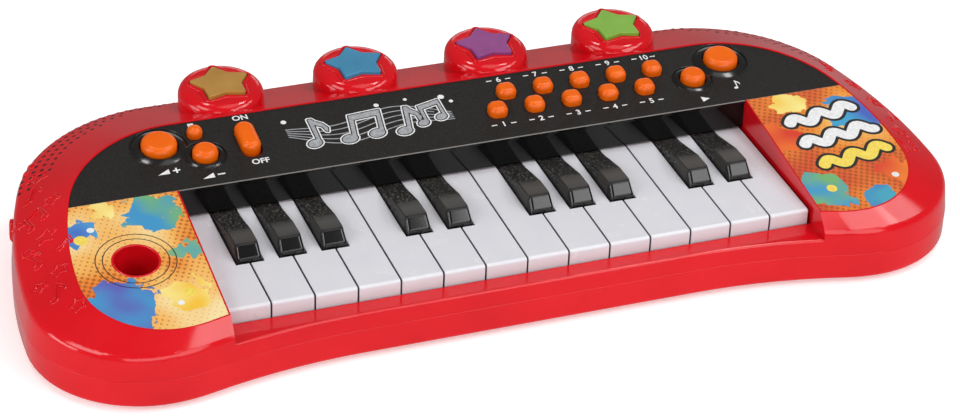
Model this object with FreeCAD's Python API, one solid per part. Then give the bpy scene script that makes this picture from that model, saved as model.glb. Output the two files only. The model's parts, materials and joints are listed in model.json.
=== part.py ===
import FreeCAD, Part
import math
import os
from FreeCAD import Matrix, Placement, Rotation, Vector

# Toy keyboard with two octaves of small keys, a sloped control deck and four star pads.
# Millimetres and degrees. +X runs from low notes to high, +Y from the player to the back, +Z up.
# The origin is on the table under the middle of the case.

# Keys
octaves = 2
octave_whites = 7
black_after = (1, 2, 3, 5, 6)      # white keys of an octave, F first, with a black key on their right
key_pitch = 19.0
key_gap = 0.7
key_length = 72.5                  # white key top that shows, front edge to fascia
key_plate = 2.2                    # thickness of a key's top
key_wall = 1.6                     # thickness of a key's skirt
key_skirt = 7.4                    # height of a white key's skirt
key_lip = 10.0                     # height of a white key's front face
key_front_round = 1.4
key_edge_round = 0.4
key_press = 2.0                    # degrees that a key turns
black_width = 11.0
black_top_width = 10.2
black_setback = 31.7               # white key front edge to black key front edge
black_height = 6.6                 # crest above the white keys
black_face_lean = 4.8              # how far the front face leans back
black_crest_run = 11.7             # flat stretch behind the front face
black_crest_drop = 0.5
black_foot = 1.6                   # height of the flared foot
black_foot_run = 0.8
black_depth = 6.0                  # body below the white key tops
black_tail_rise = 0.4              # height above the white keys at the fascia
black_room = 0.7                   # gap between a black key and the white keys beside it
black_edge_round = 0.6
neck_run = 8.0                     # how far a key's neck reaches behind the fascia
tail_width = 6.0
tail_drop = 2.9                    # key tail's underside below the pivot rod
eye_radius = 3.6
rod_radius = 1.5
rod_fit = 0.05
pivot_setback = 26.0               # fascia to pivot rod
pivot_drop = 4.2                   # pivot rod below the white key tops
plunger_width = 5.0

# Case
wall = 2.2
cheek_width = 77.6                 # side of the key well to the end of the case
well_room = 0.9                    # gap between the end keys and the cheeks
front_shoulder = 21.05             # furthest front of the case to the white keys
deck_depth = 44.9                  # fascia to the back edge of the deck
back_rim = 44.15                   # back edge of the deck to the back of the case
front_corner = 50.0
back_corner = 75.0
cheek_bulge = 68.0
waist_half = 76.0                  # half of the straight stretch of the front
waist_turn = 14.5                  # degrees from that stretch to the cheeks' fronts
side_turn = 19.2                   # degrees that the side turns before the back corner
foot_height = 2.0
foot_radius = 8.0
lower_height = 12.8                # lower shell without its feet
ledge_height = 20.5                # front ledge above the shell's underside
key_height = 27.4                  # white key tops above the shell's underside
fascia_height = 15.0               # white key tops to the front edge of the deck
deck_tilt = 8.0
rim_height = 28.5                  # top of the side walls above the underside, at mid depth
rim_tilt = 3.3
rim_draft = 1.5                    # how far the side walls lean in
rim_round = 5.0
base_round = 2.0
seam_round = 0.3
ledge_round = 1.2
rim_side = 21.5                    # width of the rim at the ends
rim_front = 9.1                    # width of the rim at the cheeks' fronts
deck_front_corner = 36.0
deck_back_corner = 58.0
deck_bulge = 50.0
ledge_gap = 0.8                    # front ledge to the keys' front faces

# Deck panel and labels
panel_thickness = 1.5
panel_sink = 0.3
panel_margin = 0.8                 # red edge left around the panel and the labels
panel_fit = 0.1
panel_edge_round = 0.5
fascia_thickness = 1.2
fascia_lean = 0.9
fascia_lift = 1.2                  # gap above the white keys
label_thickness = 0.25
label_sink = 0.3
label_back = 0.15                  # label's back edge to the panel
label_inner = 0.7                  # label's inner edge to the key well

# Buttons, placed along the slope from the deck's front edge and stepped in from the larger ones
button_room = 0.35
button_rise = 4.1
button_travel = 1.6
button_flange = 1.2
button_flange_thickness = 1.2
button_flange_gap = 0.2
button_stem = 2.2
button_stem_length = 1.0
button_top_round = 2.9
big_button = 8.0
big_dish = 12.9
big_button_inset = 55.6            # end of the deck to a larger button's centre
big_button_run = 30.4
small_button = 5.7
small_dish = 9.5
small_button_step = 18.2           # larger button's centre to the smaller one beside it
small_button_run = 20.6
stop_button = 3.5
stop_button_step = 17.4
stop_button_run = 35.4
dish_depth = 0.7
dish_land = 1.0
key_button = 8.8                   # side of a tone or rhythm button
key_button_corner = 3.4
key_button_count = 5
key_button_pitch = 18.0
tone_row_step = 43.0               # larger button's centre to the last tone button
tone_row_run = 19.0
rhythm_row_step = 34.5             # larger button's centre to the last rhythm button
rhythm_row_run = 31.0
slider_width = 9.0
slider_length = 19.0
slider_step = 20.8                 # smaller button's centre to the slider
slider_run = 26.6
slider_travel = 2.5
slider_rise = 4.0

# Star pads on the back rim
star_count = 4
star_pitch = 63.8
dome_radius = 19.5
dome_draft = 0.6
dome_setback = 22.9                # deck's back edge to the pads' centres
dome_height = 50.9                 # top of a dome above the shell's underside
dome_tilt = 3.0
dome_round = 5.0
star_points = 5
star_tip = 14.6
star_inner = 9.3
star_tip_round = 1.0
star_lip = 2.4                     # raised red border round a star's inner corners
star_lip_tip = 2.6                 # the same border round a star's tips
star_lip_height = 0.6
star_lip_round = 0.5
star_rise = 1.1                    # star above its border
star_room = 0.4
star_travel = 2.0
star_flange = 16.4
star_edge_round = 0.6

# Circuit boards and rubber contacts
deck_plate = 2.0                   # deck under the panel
board_thickness = 1.6
sheet_thickness = 0.8
sheet_inset = 1.8
contact_height = 1.4
contact_radius = 3.2
contact_gap = 0.3
main_board_side = 21.6             # outermost button's centre to the end of the main board
main_board_front = 8.0             # deck's front edge to the main board
main_board_back = 4.3              # main board to the deck's back edge
board_boss_inset = 4.5
star_board_end = 16.3              # outermost star's centre to the end of the star board
star_board_width = 15.0
star_board_back = 5.5              # star board's back edge behind the pads' centres
boss_radius = 3.5
boss_room = 0.4
star_stem_length = 6.5

# Key frame and the contacts under the keys
frame_stand = 3.8                  # key frame above the floor
frame_plate = 2.2
frame_front = 6.0                  # key frame's front edge behind the white keys' fronts
frame_tail = 9.0                   # key frame's back edge behind the pivot rod
frame_boss_inset = 14.0
post_half_depth = 5.0
post_width = 6.0
post_cap = 3.6
key_contact_setback = 24.0         # contact row in front of the fascia
key_board_width = 18.0
key_contact_height = 3.0

# Screws, feet and the inside of the shells
rim_inner_drop = 1.5
label_hole_room = 0.6
screw_radius = 1.4
screw_head = 2.8
screw_head_height = 2.0
screw_length = 12.0
screw_room = 0.15
screw_seat = 2.0
screw_post = 4.6
screw_slot = 0.8
thread_room = 0.05
front_screw_inset = 28.0
front_screw_setback = 32.0
side_screw_inset = 17.0
side_screw_setback = 8.0
back_screw_inset = 11.2
front_foot_inset = 40.0
back_foot_inset = 70.0

# Speakers
speaker_radius = 23.0
speaker_inset_x = 46.5
speaker_inset_y = 46.3
speaker_stand = 17.8
speaker_gap = 2.3
speaker_flange = 1.2
speaker_cup = 2.0
cone_radius = 20.0
cone_hub = 6.0
magnet_radius = 10.0
magnet_height = 5.5

# Battery bay
battery_count = 3
battery_radius = 7.25
battery_length = 50.5
battery_room = 0.25
battery_nub = 1.0
battery_nub_radius = 2.7
bay_wall = 1.6
bay_end = 3.5
bay_back = 1.0
bay_head = 0.5
cover_room = 0.3
contact_plate = 0.5
contact_plate_side = 10.0
contact_button = 3.0
grip_count = 4
grip_pitch = 3.0
grip_half = 9.0
grip_width = 1.2
grip_depth = 0.6

# Microphone holder and jack at the low end
holder_radius = 9.4
holder_wall = 1.8
holder_inset = 48.7                # end of the case to the holder's centre
holder_setback = 39.5              # holder's centre in front of the fascia
holder_floor = 1.8                 # thickness of the holder's floor, from the seam up
jack_turn = 15.3                   # degrees along the side from the widest point
jack_height = 21.2
jack_radius = 4.0
jack_collar = 4.8
jack_proud = 0.6
jack_seat = 2.2                    # how deep the collar sits in the case
jack_round = 0.8
jack_bore = 1.8
jack_length = 14.0
jack_fit = 0.1

# Places worked out from the sizes above
reach = 500.0                      # longer than any piece, for cutting
quarter_turn = 90.0
near = 0.001                       # how close counts as on a line
white_count = octaves * octave_whites
black_gaps = [octave * octave_whites + n for octave in range(octaves) for n in black_after]
open_gaps = [g for g in range(white_count + 1) if g not in black_gaps]
well_half = white_count * key_pitch / 2 + well_room
case_half = well_half + cheek_width
case_depth = front_shoulder + key_length + deck_depth + back_rim
y_front = -case_depth / 2
y_back = case_depth / 2
y_key = y_front + front_shoulder
y_fascia = y_key + key_length
y_crest = y_fascia + deck_depth
y_pivot = y_fascia + pivot_setback
y_black = y_key + black_setback
y_contact = y_fascia - key_contact_setback
y_star = y_crest + dome_setback
z_under = foot_height
z_floor = z_under + wall
z_seam = z_under + lower_height
z_ledge = z_under + ledge_height
z_key = z_under + key_height
z_deck = z_key + fascia_height
z_pivot = z_key - pivot_drop
z_dome = z_under + dome_height
deck_slope = math.tan(math.radians(deck_tilt))
rim_slope = math.tan(math.radians(rim_tilt))
deck_level = z_deck - deck_slope * y_fascia
rim_level = z_under + rim_height
panel_under = -panel_sink - panel_thickness
deck_under = panel_under - deck_plate
flange_top = deck_under - button_flange_gap
stem_end = flange_top - button_flange_thickness - button_stem_length
contact_top = stem_end - button_travel - contact_gap
sheet_top = contact_top - contact_height
board_top = sheet_top - sheet_thickness
board_under = board_top - board_thickness
z_frame = z_floor + frame_stand
z_key_board = z_frame + frame_plate
z_key_sheet = z_key_board + board_thickness
z_key_contact = z_key_sheet + sheet_thickness + key_contact_height
contact_drop = (y_pivot - y_contact) * math.tan(math.radians(key_press))
z_plunger = z_key_contact + contact_drop + contact_gap
fascia_back = y_fascia + fascia_thickness + fascia_lean
opening_front = y_key - ledge_gap
opening_top = z_key + fascia_lift
deck_place = Placement(Vector(0, y_fascia, z_deck), Rotation(Vector(1, 0, 0), deck_tilt))
dome_ceiling = z_dome - wall
dome_room = dome_ceiling - dome_radius * math.tan(math.radians(dome_tilt))
star_flange_top = dome_room - button_flange_gap
star_stem_end = star_flange_top - button_flange_thickness - star_stem_length
star_contact_top = star_stem_end - star_travel - contact_gap
star_sheet_top = star_contact_top - contact_height
star_board_top = star_sheet_top - sheet_thickness
speaker_seat = z_floor + speaker_stand
z_holder = z_seam + holder_floor
y_star_boss = y_star + star_board_back - star_board_width + boss_radius
whites = range(1, white_count + 1)
stars = range(1, star_count + 1)
bay_half = battery_length / 2 + bay_end
bay_depth = battery_count * 2 * (battery_radius + battery_room)
bay_far = y_back - wall - bay_back - bay_wall
bay_near = bay_far - bay_depth
bay_ceiling = z_floor + 2 * (battery_radius + battery_room) + bay_head
deck_half = case_half - rim_side
big_button_x = deck_half - big_button_inset
small_button_x = big_button_x - small_button_step
stop_button_x = big_button_x - stop_button_step
slider_x = small_button_x - slider_step
key_button_row = (key_button_count - 1) * key_button_pitch
tone_row_x = big_button_x - tone_row_step - key_button_row
rhythm_row_x = big_button_x - rhythm_row_step - key_button_row
main_board_half = big_button_x + main_board_side
main_board_run = (main_board_front, deck_depth / math.cos(math.radians(deck_tilt)) - main_board_back)
star_board_half = (star_count - 1) / 2 * star_pitch + star_board_end


def box(low, high):
    return Part.makeBox(high[0] - low[0], high[1] - low[1], high[2] - low[2], Vector(*low))


def post(x, y, radius, low, high):
    return Part.makeCylinder(radius, high - low, Vector(x, y, low))


def bar(start, end, y, z, radius):
    # A round bar along X.
    return Part.makeCylinder(radius, end - start, Vector(start, y, z), Vector(1, 0, 0))


def on_deck(shape):
    placed = shape.copy()
    placed.Placement = deck_place.multiply(placed.Placement)
    return placed


def deck_slab(low, high):
    return on_deck(box((-reach, -reach, low), (reach, reach, high)))


def trace(start, moves):
    # A closed outline in plan: each move is (radius, turn) or (0, length), starting along +X.
    x, y = start
    heading = 0.0
    edges = []
    for radius, amount in moves:
        if radius == 0:
            end = (x + amount * math.cos(heading), y + amount * math.sin(heading))
            edges.append(Part.makeLine(Vector(x, y, 0), Vector(*end, 0)))
        else:
            turn = math.radians(amount)
            side = math.copysign(math.pi / 2, turn)
            centre = (x + radius * math.cos(heading + side), y + radius * math.sin(heading + side))
            stops = []
            for share in (0.5, 1.0):
                angle = heading - side + turn * share
                stops.append((centre[0] + radius * math.cos(angle), centre[1] + radius * math.sin(angle)))
            middle, end = stops
            edges.append(Part.Arc(Vector(x, y, 0), Vector(*middle, 0), Vector(*end, 0)).toShape())
            heading += turn
        x, y = end
    return Part.Wire(edges)


def ring(half, front, back, corner, rear_corner, bulge):
    run = half - corner - waist_half
    waist_depth = run * math.tan(math.radians(waist_turn / 2))
    waist_radius = run / math.sin(math.radians(waist_turn)) - bulge
    side = rear_corner + (back - front - corner - rear_corner) / math.sin(math.radians(side_turn))
    lean = math.cos(math.radians(side_turn))
    back_half = half - side * (1 - lean) - rear_corner * lean
    right = [(waist_radius, -waist_turn), (bulge, waist_turn), (corner, quarter_turn), (side, side_turn),
             (rear_corner, quarter_turn - side_turn)]
    moves = [(0, 2 * waist_half)] + right + [(0, 2 * back_half)] + right[::-1]
    return trace((-waist_half, front + waist_depth), moves)


def case_ring(inset):
    return ring(case_half - inset, y_front + inset, y_back - inset, front_corner - inset, back_corner - inset,
                cheek_bulge - inset)


def deck_ring(inset):
    return ring(deck_half - inset, y_front + rim_front + inset, y_crest - inset,
                deck_front_corner - inset, deck_back_corner - inset, deck_bulge - inset)


def tilted(wire, level, slope):
    lift = Matrix()
    lift.A32 = slope
    lift.A34 = level
    return wire.transformGeometry(lift)


def prism(wire, low, high):
    face = Part.Face(wire)
    face.translate(Vector(0, 0, low))
    return face.extrude(Vector(0, 0, high - low))


def roof(low, inset, rim_drop, deck_drop):
    walls = tilted(case_ring(inset), low, 0)
    rim = tilted(case_ring(inset + rim_draft), rim_level - rim_drop, rim_slope)
    deck = tilted(deck_ring(0), deck_level - deck_drop, deck_slope)
    return Part.makeLoft([walls, rim, deck], True, True)


def rim_edges(shape):
    found = []
    for edge in shape.Edges:
        ends = [v.Point for v in edge.Vertexes]
        if all(abs(p.z - rim_level - rim_slope * p.y) < near for p in ends):
            found.append(edge)
    return found


def star_wire(tip, inner, tip_round, z):
    points = []
    for i in range(2 * star_points):
        angle = math.radians(quarter_turn + i * 2 * quarter_turn / star_points)
        radius = inner if i % 2 else tip
        points.append(Vector(radius * math.cos(angle), radius * math.sin(angle), z))
    outline = Part.Face(Part.makePolygon(points + points[:1]))
    block = outline.extrude(Vector(0, 0, 1))
    corners = [e for e in block.Edges if is_upright(e)]
    tips = [e for e in corners if math.hypot(e.Vertexes[0].X, e.Vertexes[0].Y) > inner + near]
    rounded = block.makeFillet(tip_round, tips)
    return max(rounded.Faces, key=lambda f: -f.CenterOfMass.z).OuterWire


def is_upright(edge):
    ends = [v.Point for v in edge.Vertexes]
    return len(ends) == 2 and math.hypot(ends[0].x - ends[1].x, ends[0].y - ends[1].y) < near


def star_prism(tip, inner, tip_round, low, high):
    return Part.Face(star_wire(tip, inner, tip_round, low)).extrude(Vector(0, 0, high - low))


def mirror_pair(shape):
    return [shape, shape.mirror(Vector(0, 0, 0), Vector(1, 0, 0))]


def white_x(n):
    return (n - 0.5) * key_pitch - white_count * key_pitch / 2


def gap_x(g):
    return g * key_pitch - white_count * key_pitch / 2


def star_x(n):
    return (n - (star_count + 1) / 2) * star_pitch


def key_tail(x):
    half = tail_width / 2
    tail = box((x - half, y_fascia, z_pivot - tail_drop), (x + half, y_pivot, z_pivot))
    eye = bar(x - half, x + half, y_pivot, z_pivot, eye_radius)
    plunger = box((x - plunger_width / 2, y_contact - plunger_width / 2, z_plunger),
                  (x + plunger_width / 2, y_contact + plunger_width / 2, z_key - key_plate))
    return tail.multiFuse([eye, plunger])


def rod_bore(x):
    return bar(x - tail_width / 2, x + tail_width / 2, y_pivot, z_pivot, rod_radius + rod_fit)


def white_key(n):
    x = white_x(n)
    left = x - (key_pitch - key_gap) / 2
    right = x + (key_pitch - key_gap) / 2
    notch = black_width / 2 + black_room
    neck_left = gap_x(n - 1) + notch if n - 1 in black_gaps else left
    neck_right = gap_x(n) - notch if n in black_gaps else right
    y_head = y_black - black_room
    head = box((left, y_key, z_key - key_skirt), (right, y_head, z_key))
    neck = box((neck_left, y_head, z_key - key_skirt), (neck_right, y_fascia + neck_run, z_key))
    cap = head.fuse(neck).removeSplitter()
    cap = cap.makeFillet(key_front_round, [e for e in cap.Edges if on_line(e, y_key, z_key)])
    cap = cap.makeFillet(key_edge_round, [e for e in cap.Edges if is_key_rim(e)])
    hollow = box((left + key_wall, y_key + key_wall, z_key - key_skirt),
                 (right - key_wall, y_head - key_wall, z_key - key_plate))
    lip = box((left, y_key, z_key - key_lip), (right, y_key + key_wall, z_key - key_skirt))
    return cap.cut(hollow).multiFuse([lip, key_tail(x)]).removeSplitter().cut(rod_bore(x))


def is_key_rim(edge):
    # The long top edges of a white key, but not its back end.
    ends = [v.Point for v in edge.Vertexes]
    along_key = len(ends) == 2 and abs(ends[0].x - ends[1].x) < near
    return along_key and all(abs(p.z - z_key) < near for p in ends)


def on_line(edge, y, z):
    return all(abs(v.Y - y) < near and abs(v.Z - z) < near for v in edge.Vertexes)


def black_key(g):
    x = gap_x(g)
    half = black_width / 2
    crest = z_key + black_height
    foot = z_key + black_foot
    profile = [(y_black, z_key - black_depth), (y_black, foot),
               (y_black + black_foot_run, foot + black_foot_run),
               (y_black + black_face_lean, crest),
               (y_black + black_face_lean + black_crest_run, crest - black_crest_drop),
               (y_fascia, z_key + black_tail_rise), (y_fascia + neck_run, z_key + black_tail_rise),
               (y_fascia + neck_run, z_key - black_depth)]
    points = [Vector(x - half, y, z) for y, z in profile]
    body = Part.Face(Part.makePolygon(points + points[:1])).extrude(Vector(black_width, 0, 0))
    top_half = black_top_width / 2
    section = [(-half, z_key - black_depth), (-half, foot), (-top_half, crest),
               (top_half, crest), (half, foot), (half, z_key - black_depth)]
    sides = [Vector(x + sx, y_black, sz) for sx, sz in section]
    length = y_fascia + neck_run - y_black
    taper = Part.Face(Part.makePolygon(sides + sides[:1])).extrude(Vector(0, length, 0))
    body = body.common(taper)
    rounded = [e for e in body.Edges if is_black_rim(e, profile[3:7])]
    body = body.makeFillet(black_edge_round, rounded)
    return body.fuse(key_tail(x)).removeSplitter().cut(rod_bore(x))


def is_black_rim(edge, line):
    # The rim of a black key's top: its front edge and its two long sides.
    ends = [v.Point for v in edge.Vertexes]
    if len(ends) < 2 or not all(on_top_line(p, line) for p in ends):
        return False
    front = all(abs(p.y - line[0][0]) < near for p in ends)
    return front or abs(ends[0].x - ends[1].x) < abs(ends[0].y - ends[1].y)


def on_top_line(point, line):
    for (y0, z0), (y1, z1) in zip(line, line[1:]):
        if y0 - near <= point.y <= y1 + near:
            level = z0 + (z1 - z0) * (point.y - y0) / (y1 - y0)
            if abs(point.z - level) < near:
                return True
    return False


def capsule(length, width, low, high):
    half = length / 2 - width / 2
    middle = box((-width / 2, -half, low), (width / 2, half, high))
    ends = [Part.makeCylinder(width / 2, high - low, Vector(0, s * half, low)) for s in (-1, 1)]
    return middle.multiFuse(ends).removeSplitter()


def rounded_square(side, corner, low, high):
    block = box((-side / 2, -side / 2, low), (side / 2, side / 2, high))
    return block.makeFillet(corner, [e for e in block.Edges if is_upright(e)])


def top_edges(shape, level):
    return [e for e in shape.Edges if all(abs(v.Z - level) < near for v in e.Vertexes)]


def round_body(radius, low, high):
    return Part.makeCylinder(radius, high - low, Vector(0, 0, low))


def button(make, size, x, run):
    # make gives the cap's outline as a block: make(size, low, high)
    cap = make(size, flange_top, button_rise)
    cap = cap.makeFillet(button_top_round, top_edges(cap, button_rise))
    flange = make(size + button_flange, flange_top - button_flange_thickness, flange_top)
    stem = round_body(button_stem, stem_end, flange_top - button_flange_thickness)
    whole = cap.multiFuse([flange, stem]).removeSplitter()
    whole.translate(Vector(x, run, 0))
    return on_deck(whole)


def square_body(half, low, high):
    grow = half - key_button / 2
    return rounded_square(2 * half, key_button_corner + grow, low, high)


def button_list():
    buttons = {"volume_up_button": (round_body, big_button, -big_button_x, big_button_run),
               "volume_down_button": (round_body, small_button, -small_button_x, small_button_run),
               "stop_button": (round_body, stop_button, -stop_button_x, stop_button_run),
               "play_button": (round_body, small_button, small_button_x, small_button_run),
               "demo_button": (round_body, big_button, big_button_x, big_button_run)}
    for i in range(key_button_count):
        shift = i * key_button_pitch
        half = key_button / 2
        buttons["tone_button_%d" % (i + 1)] = (square_body, half, tone_row_x + shift, tone_row_run)
        buttons["rhythm_button_%d" % (i + 1)] = (square_body, half, rhythm_row_x + shift, rhythm_row_run)
    return buttons


def button_holes():
    holes = []
    for make, size, x, run in button_list().values():
        hole = make(size + button_room, deck_under - wall, wall)
        hole.translate(Vector(x, run, 0))
        holes.append(on_deck(hole))
    slot = capsule(slider_length + 2 * button_room + slider_travel, slider_width + 2 * button_room,
                   deck_under - wall, wall)
    slot.translate(Vector(-slider_x, slider_run - slider_travel / 2, 0))
    holes.append(on_deck(slot))
    return holes


def power_slider():
    knob = capsule(slider_length, slider_width, flange_top, slider_rise)
    knob = knob.makeFillet(button_top_round, top_edges(knob, slider_rise))
    wide = 2 * button_flange
    flange_low = flange_top - button_flange_thickness
    flange = capsule(slider_length + wide, slider_width + wide, flange_low, flange_top)
    stem = round_body(button_stem, board_top + contact_gap, flange_low)
    whole = knob.multiFuse([flange, stem]).removeSplitter()
    whole.translate(Vector(-slider_x, slider_run, 0))
    return on_deck(whole)


def board_boss_places():
    # Bosses that carry the main board, in the free places between the buttons.
    front = main_board_run[0] + board_boss_inset
    back = main_board_run[1] - board_boss_inset
    end = main_board_half - board_boss_inset
    between = ((tone_row_x - slider_x) / 2, (rhythm_row_x + key_button_row + big_button_x) / 2)
    return [(-end, front), (between[0], front), (end, front), (between[0], back), (between[1], back)]


def star_boss_places():
    return [(star_x(n) + star_x(n + 1)) / 2 for n in stars if n < star_count]


def star_place(n):
    return Vector(star_x(n), y_star, 0)


def star_button(n):
    top = z_dome + star_lip_height + star_rise
    star = star_prism(star_tip, star_inner, star_tip_round, star_flange_top, top)
    star = star.makeFillet(star_edge_round, top_edges(star, top))
    flange = round_body(star_flange, star_flange_top - button_flange_thickness, star_flange_top)
    stem = round_body(button_stem, star_stem_end, star_flange_top - button_flange_thickness)
    whole = star.multiFuse([flange, stem]).removeSplitter()
    whole.translate(star_place(n))
    return whole


def dome(n):
    low = z_seam + wall
    tall = z_dome + reach
    body = Part.makeCone(dome_radius + dome_draft, dome_radius - dome_draft, z_dome + dome_radius - low,
                         Vector(0, 0, low))
    lid = box((-reach, -reach, 0), (reach, reach, tall))
    lid.rotate(Vector(0, 0, 0), Vector(1, 0, 0), dome_tilt)
    lid.translate(Vector(0, 0, z_dome))
    body = body.cut(lid)
    crest = [e for e in body.Edges if min(v.Z for v in e.Vertexes) > z_dome - dome_radius / 2 and e.Closed]
    body = body.makeFillet(dome_round, crest)
    lip_top = z_dome + star_lip_height
    lip = star_prism(star_tip + star_lip_tip, star_inner + star_lip, star_lip, z_dome - dome_round, lip_top)
    lip = lip.makeFillet(star_lip_round, top_edges(lip, lip_top))
    lip.rotate(Vector(0, 0, z_dome), Vector(1, 0, 0), dome_tilt)
    body = body.fuse(lip)
    body.translate(star_place(n))
    return body


def dome_hollow(n):
    low = z_seam
    hollow = round_body(dome_radius - wall, low, dome_room)
    hole = star_prism(star_tip + star_room * 2, star_inner + star_room, star_tip_round + star_room, low,
                      z_dome + reach)
    both = hollow.fuse(hole)
    both.translate(star_place(n))
    return both


def screw_places():
    front = (case_half - front_screw_inset, y_front + front_screw_setback)
    side = (case_half - side_screw_inset, y_fascia + side_screw_setback)
    back = (star_pitch, y_back - back_screw_inset)
    return [(s * x, y) for x, y in (front, side, back) for s in (-1, 1)]


def deck_region(inset, x_range, y_range, low, high):
    # A slice of the deck, following its outline.
    region = box((x_range[0], y_range[0], 0), (x_range[1], y_range[1], reach))
    return prism(deck_ring(inset), 0, reach).common(region).common(deck_slab(low, high))


def panel_block(low, high, grow):
    return deck_region(panel_margin - grow, (-reach, reach), (y_fascia - grow, reach), low, high)


def label_block(low, high, grow):
    inner = well_half + label_inner - grow
    return deck_region(panel_margin - grow, (inner, reach), (-reach, y_fascia - label_back + grow), low, high)


def holder_centre():
    return -(case_half - holder_inset), y_fascia - holder_setback


def jack_axis():
    side = back_corner + (y_back - y_front - front_corner - back_corner) / math.sin(math.radians(side_turn))
    angle = math.radians(180.0 - jack_turn)
    out = Vector(math.cos(angle), math.sin(angle), 0)
    centre = Vector(side - case_half, y_front + front_corner, z_under + jack_height)
    return centre + out * side, out


def along(point, axis, start, end, radius):
    return Part.makeCylinder(radius, end - start, point + axis * start, axis)


def upper_shell():
    outer = roof(z_seam, 0, 0, 0)
    outer = outer.makeFillet(rim_round, rim_edges(outer))
    stepped = outer.cut(box((-well_half, -reach, z_ledge), (well_half, fascia_back, reach)))
    stepped = stepped.makeFillet(ledge_round, [e for e in stepped.Edges if is_ledge_front(e)])
    body = stepped.multiFuse([dome(n) for n in stars])
    ceiling = -deck_under / math.cos(math.radians(deck_tilt))
    hollow = roof(z_seam - wall, wall, rim_inner_drop, ceiling)
    hollow = hollow.cut(box((-well_half - wall, -reach, z_ledge - wall),
                            (well_half + wall, fascia_back + wall, reach)))
    opening = box((-well_half, opening_front, 0), (well_half, fascia_back + 2 * wall, opening_top))
    body = body.cut([hollow, opening])
    hx, hy = holder_centre()
    bosses = [post(x, y, boss_radius, z_seam, reach) for x, y in screw_places()]
    bosses.append(post(hx, hy, holder_radius + holder_wall, z_seam, reach))
    for x in star_boss_places():
        bosses.append(post(x, y_star_boss, boss_radius, star_board_top, reach))
    bosses = [boss.common(outer) for boss in bosses]
    for x, run in board_boss_places():
        bosses.append(on_deck(post(x, run, boss_radius, board_top, panel_under)))
    body = body.multiFuse(bosses)
    point, out = jack_axis()
    cuts = [dome_hollow(n) for n in stars] + button_holes()
    cuts.append(panel_block(panel_under, wall, panel_fit))
    cuts += mirror_pair(label_block(-label_sink, wall, panel_fit))
    cuts.append(post(hx, hy, holder_radius, z_holder, reach))
    cuts.append(along(point, out, -jack_length, jack_length, jack_radius + jack_fit))
    cuts.append(along(point, out, -jack_seat, jack_length, jack_collar + jack_fit))
    for x, y in screw_places():
        cuts.append(post(x, y, screw_radius + thread_room, z_seam, z_seam + screw_length))
    return body.cut(cuts)


def is_ledge_front(edge):
    # The front edge of the ledge in front of the keys, which is straight or bends with the case.
    ends = [v.Point for v in edge.Vertexes]
    across = len(ends) == 2 and abs(ends[0].x - ends[1].x) > near
    return across and all(abs(p.z - z_ledge) < near and p.y < opening_front for p in ends)


def frame_bosses():
    x = white_count * key_pitch / 2 - frame_boss_inset
    rows = (y_key + frame_front + frame_boss_inset, y_pivot - post_half_depth - frame_boss_inset)
    return [(s * x, y) for s in (-1, 0, 1) for y in rows]


def foot_places():
    front = (case_half - front_foot_inset, y_front + front_foot_inset)
    back = (case_half - back_foot_inset, y_back - front_foot_inset)
    return [(s * x, y) for x, y in (front, back) for s in (-1, 1)]


def speaker_places():
    x = case_half - speaker_inset_x
    return [(s * x, y_back - speaker_inset_y) for s in (-1, 1)]


def lower_shell():
    tray = prism(case_ring(0), z_under, z_seam)
    rounded = [e for e in tray.Edges if all(abs(v.Z - z_under) < near for v in e.Vertexes)]
    tray = tray.makeFillet(base_round, rounded)
    tray = tray.makeFillet(seam_round, top_edges(tray, z_seam))
    tray = tray.cut(prism(case_ring(wall), z_floor, z_seam + wall))
    adds = [post(x, y, foot_radius, 0, z_floor) for x, y in foot_places()]
    adds += [post(x, y, screw_post, z_under, z_seam) for x, y in screw_places()]
    adds += [post(x, y, boss_radius, z_under, z_frame) for x, y in frame_bosses()]
    adds += [post(x, y, speaker_radius, z_under, speaker_seat) for x, y in speaker_places()]
    adds.append(box((-bay_half - bay_wall, bay_near - bay_wall, z_under),
                    (bay_half + bay_wall, bay_far + bay_wall, bay_ceiling + bay_wall)))
    body = tray.multiFuse(adds)
    cuts = [box((-bay_half, bay_near, 0), (bay_half, bay_far, bay_ceiling))]
    cuts += [post(x, y, speaker_radius - speaker_cup, z_floor, speaker_seat) for x, y in speaker_places()]
    for x, y in screw_places():
        cuts.append(post(x, y, screw_head + screw_room, 0, z_seam - screw_seat))
        cuts.append(post(x, y, screw_radius + screw_room, 0, z_seam))
    return body.cut(cuts)


def control_panel():
    plate = panel_block(panel_under, -panel_sink, 0)
    z_front = z_deck - panel_sink / math.cos(math.radians(deck_tilt))
    front = [e for e in plate.Edges if on_line(e, y_fascia, z_front)]
    plate = plate.makeFillet(panel_edge_round, front)
    foot = (y_fascia, z_key + fascia_lift)
    head = (y_fascia + fascia_lean, z_deck - panel_sink - panel_thickness / 2)
    profile = [foot, head, (head[0] + fascia_thickness, head[1]), (foot[0] + fascia_thickness, foot[1])]
    half = well_half - panel_fit
    points = [Vector(-half, y, z) for y, z in profile]
    fascia = Part.Face(Part.makePolygon(points + points[:1])).extrude(Vector(2 * half, 0, 0))
    dishes = []
    for x in (-1, 1):
        dishes.append(dish(x * big_button_x, big_button_run, big_button, big_dish))
        dishes.append(dish(x * small_button_x, small_button_run, small_button, small_dish))
    return plate.fuse(fascia).removeSplitter().cut(dishes + button_holes())


def dish(x, run, hole, radius):
    low = -panel_sink - dish_depth
    cone = Part.makeCone(hole + dish_land, radius, dish_depth, Vector(x, run, low))
    return on_deck(cone)


def side_labels():
    hx, hy = holder_centre()
    right, left = mirror_pair(label_block(-label_sink, label_thickness - label_sink, 0))
    return [left.cut(post(hx, hy, holder_radius + label_hole_room, 0, reach)), right]


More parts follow.
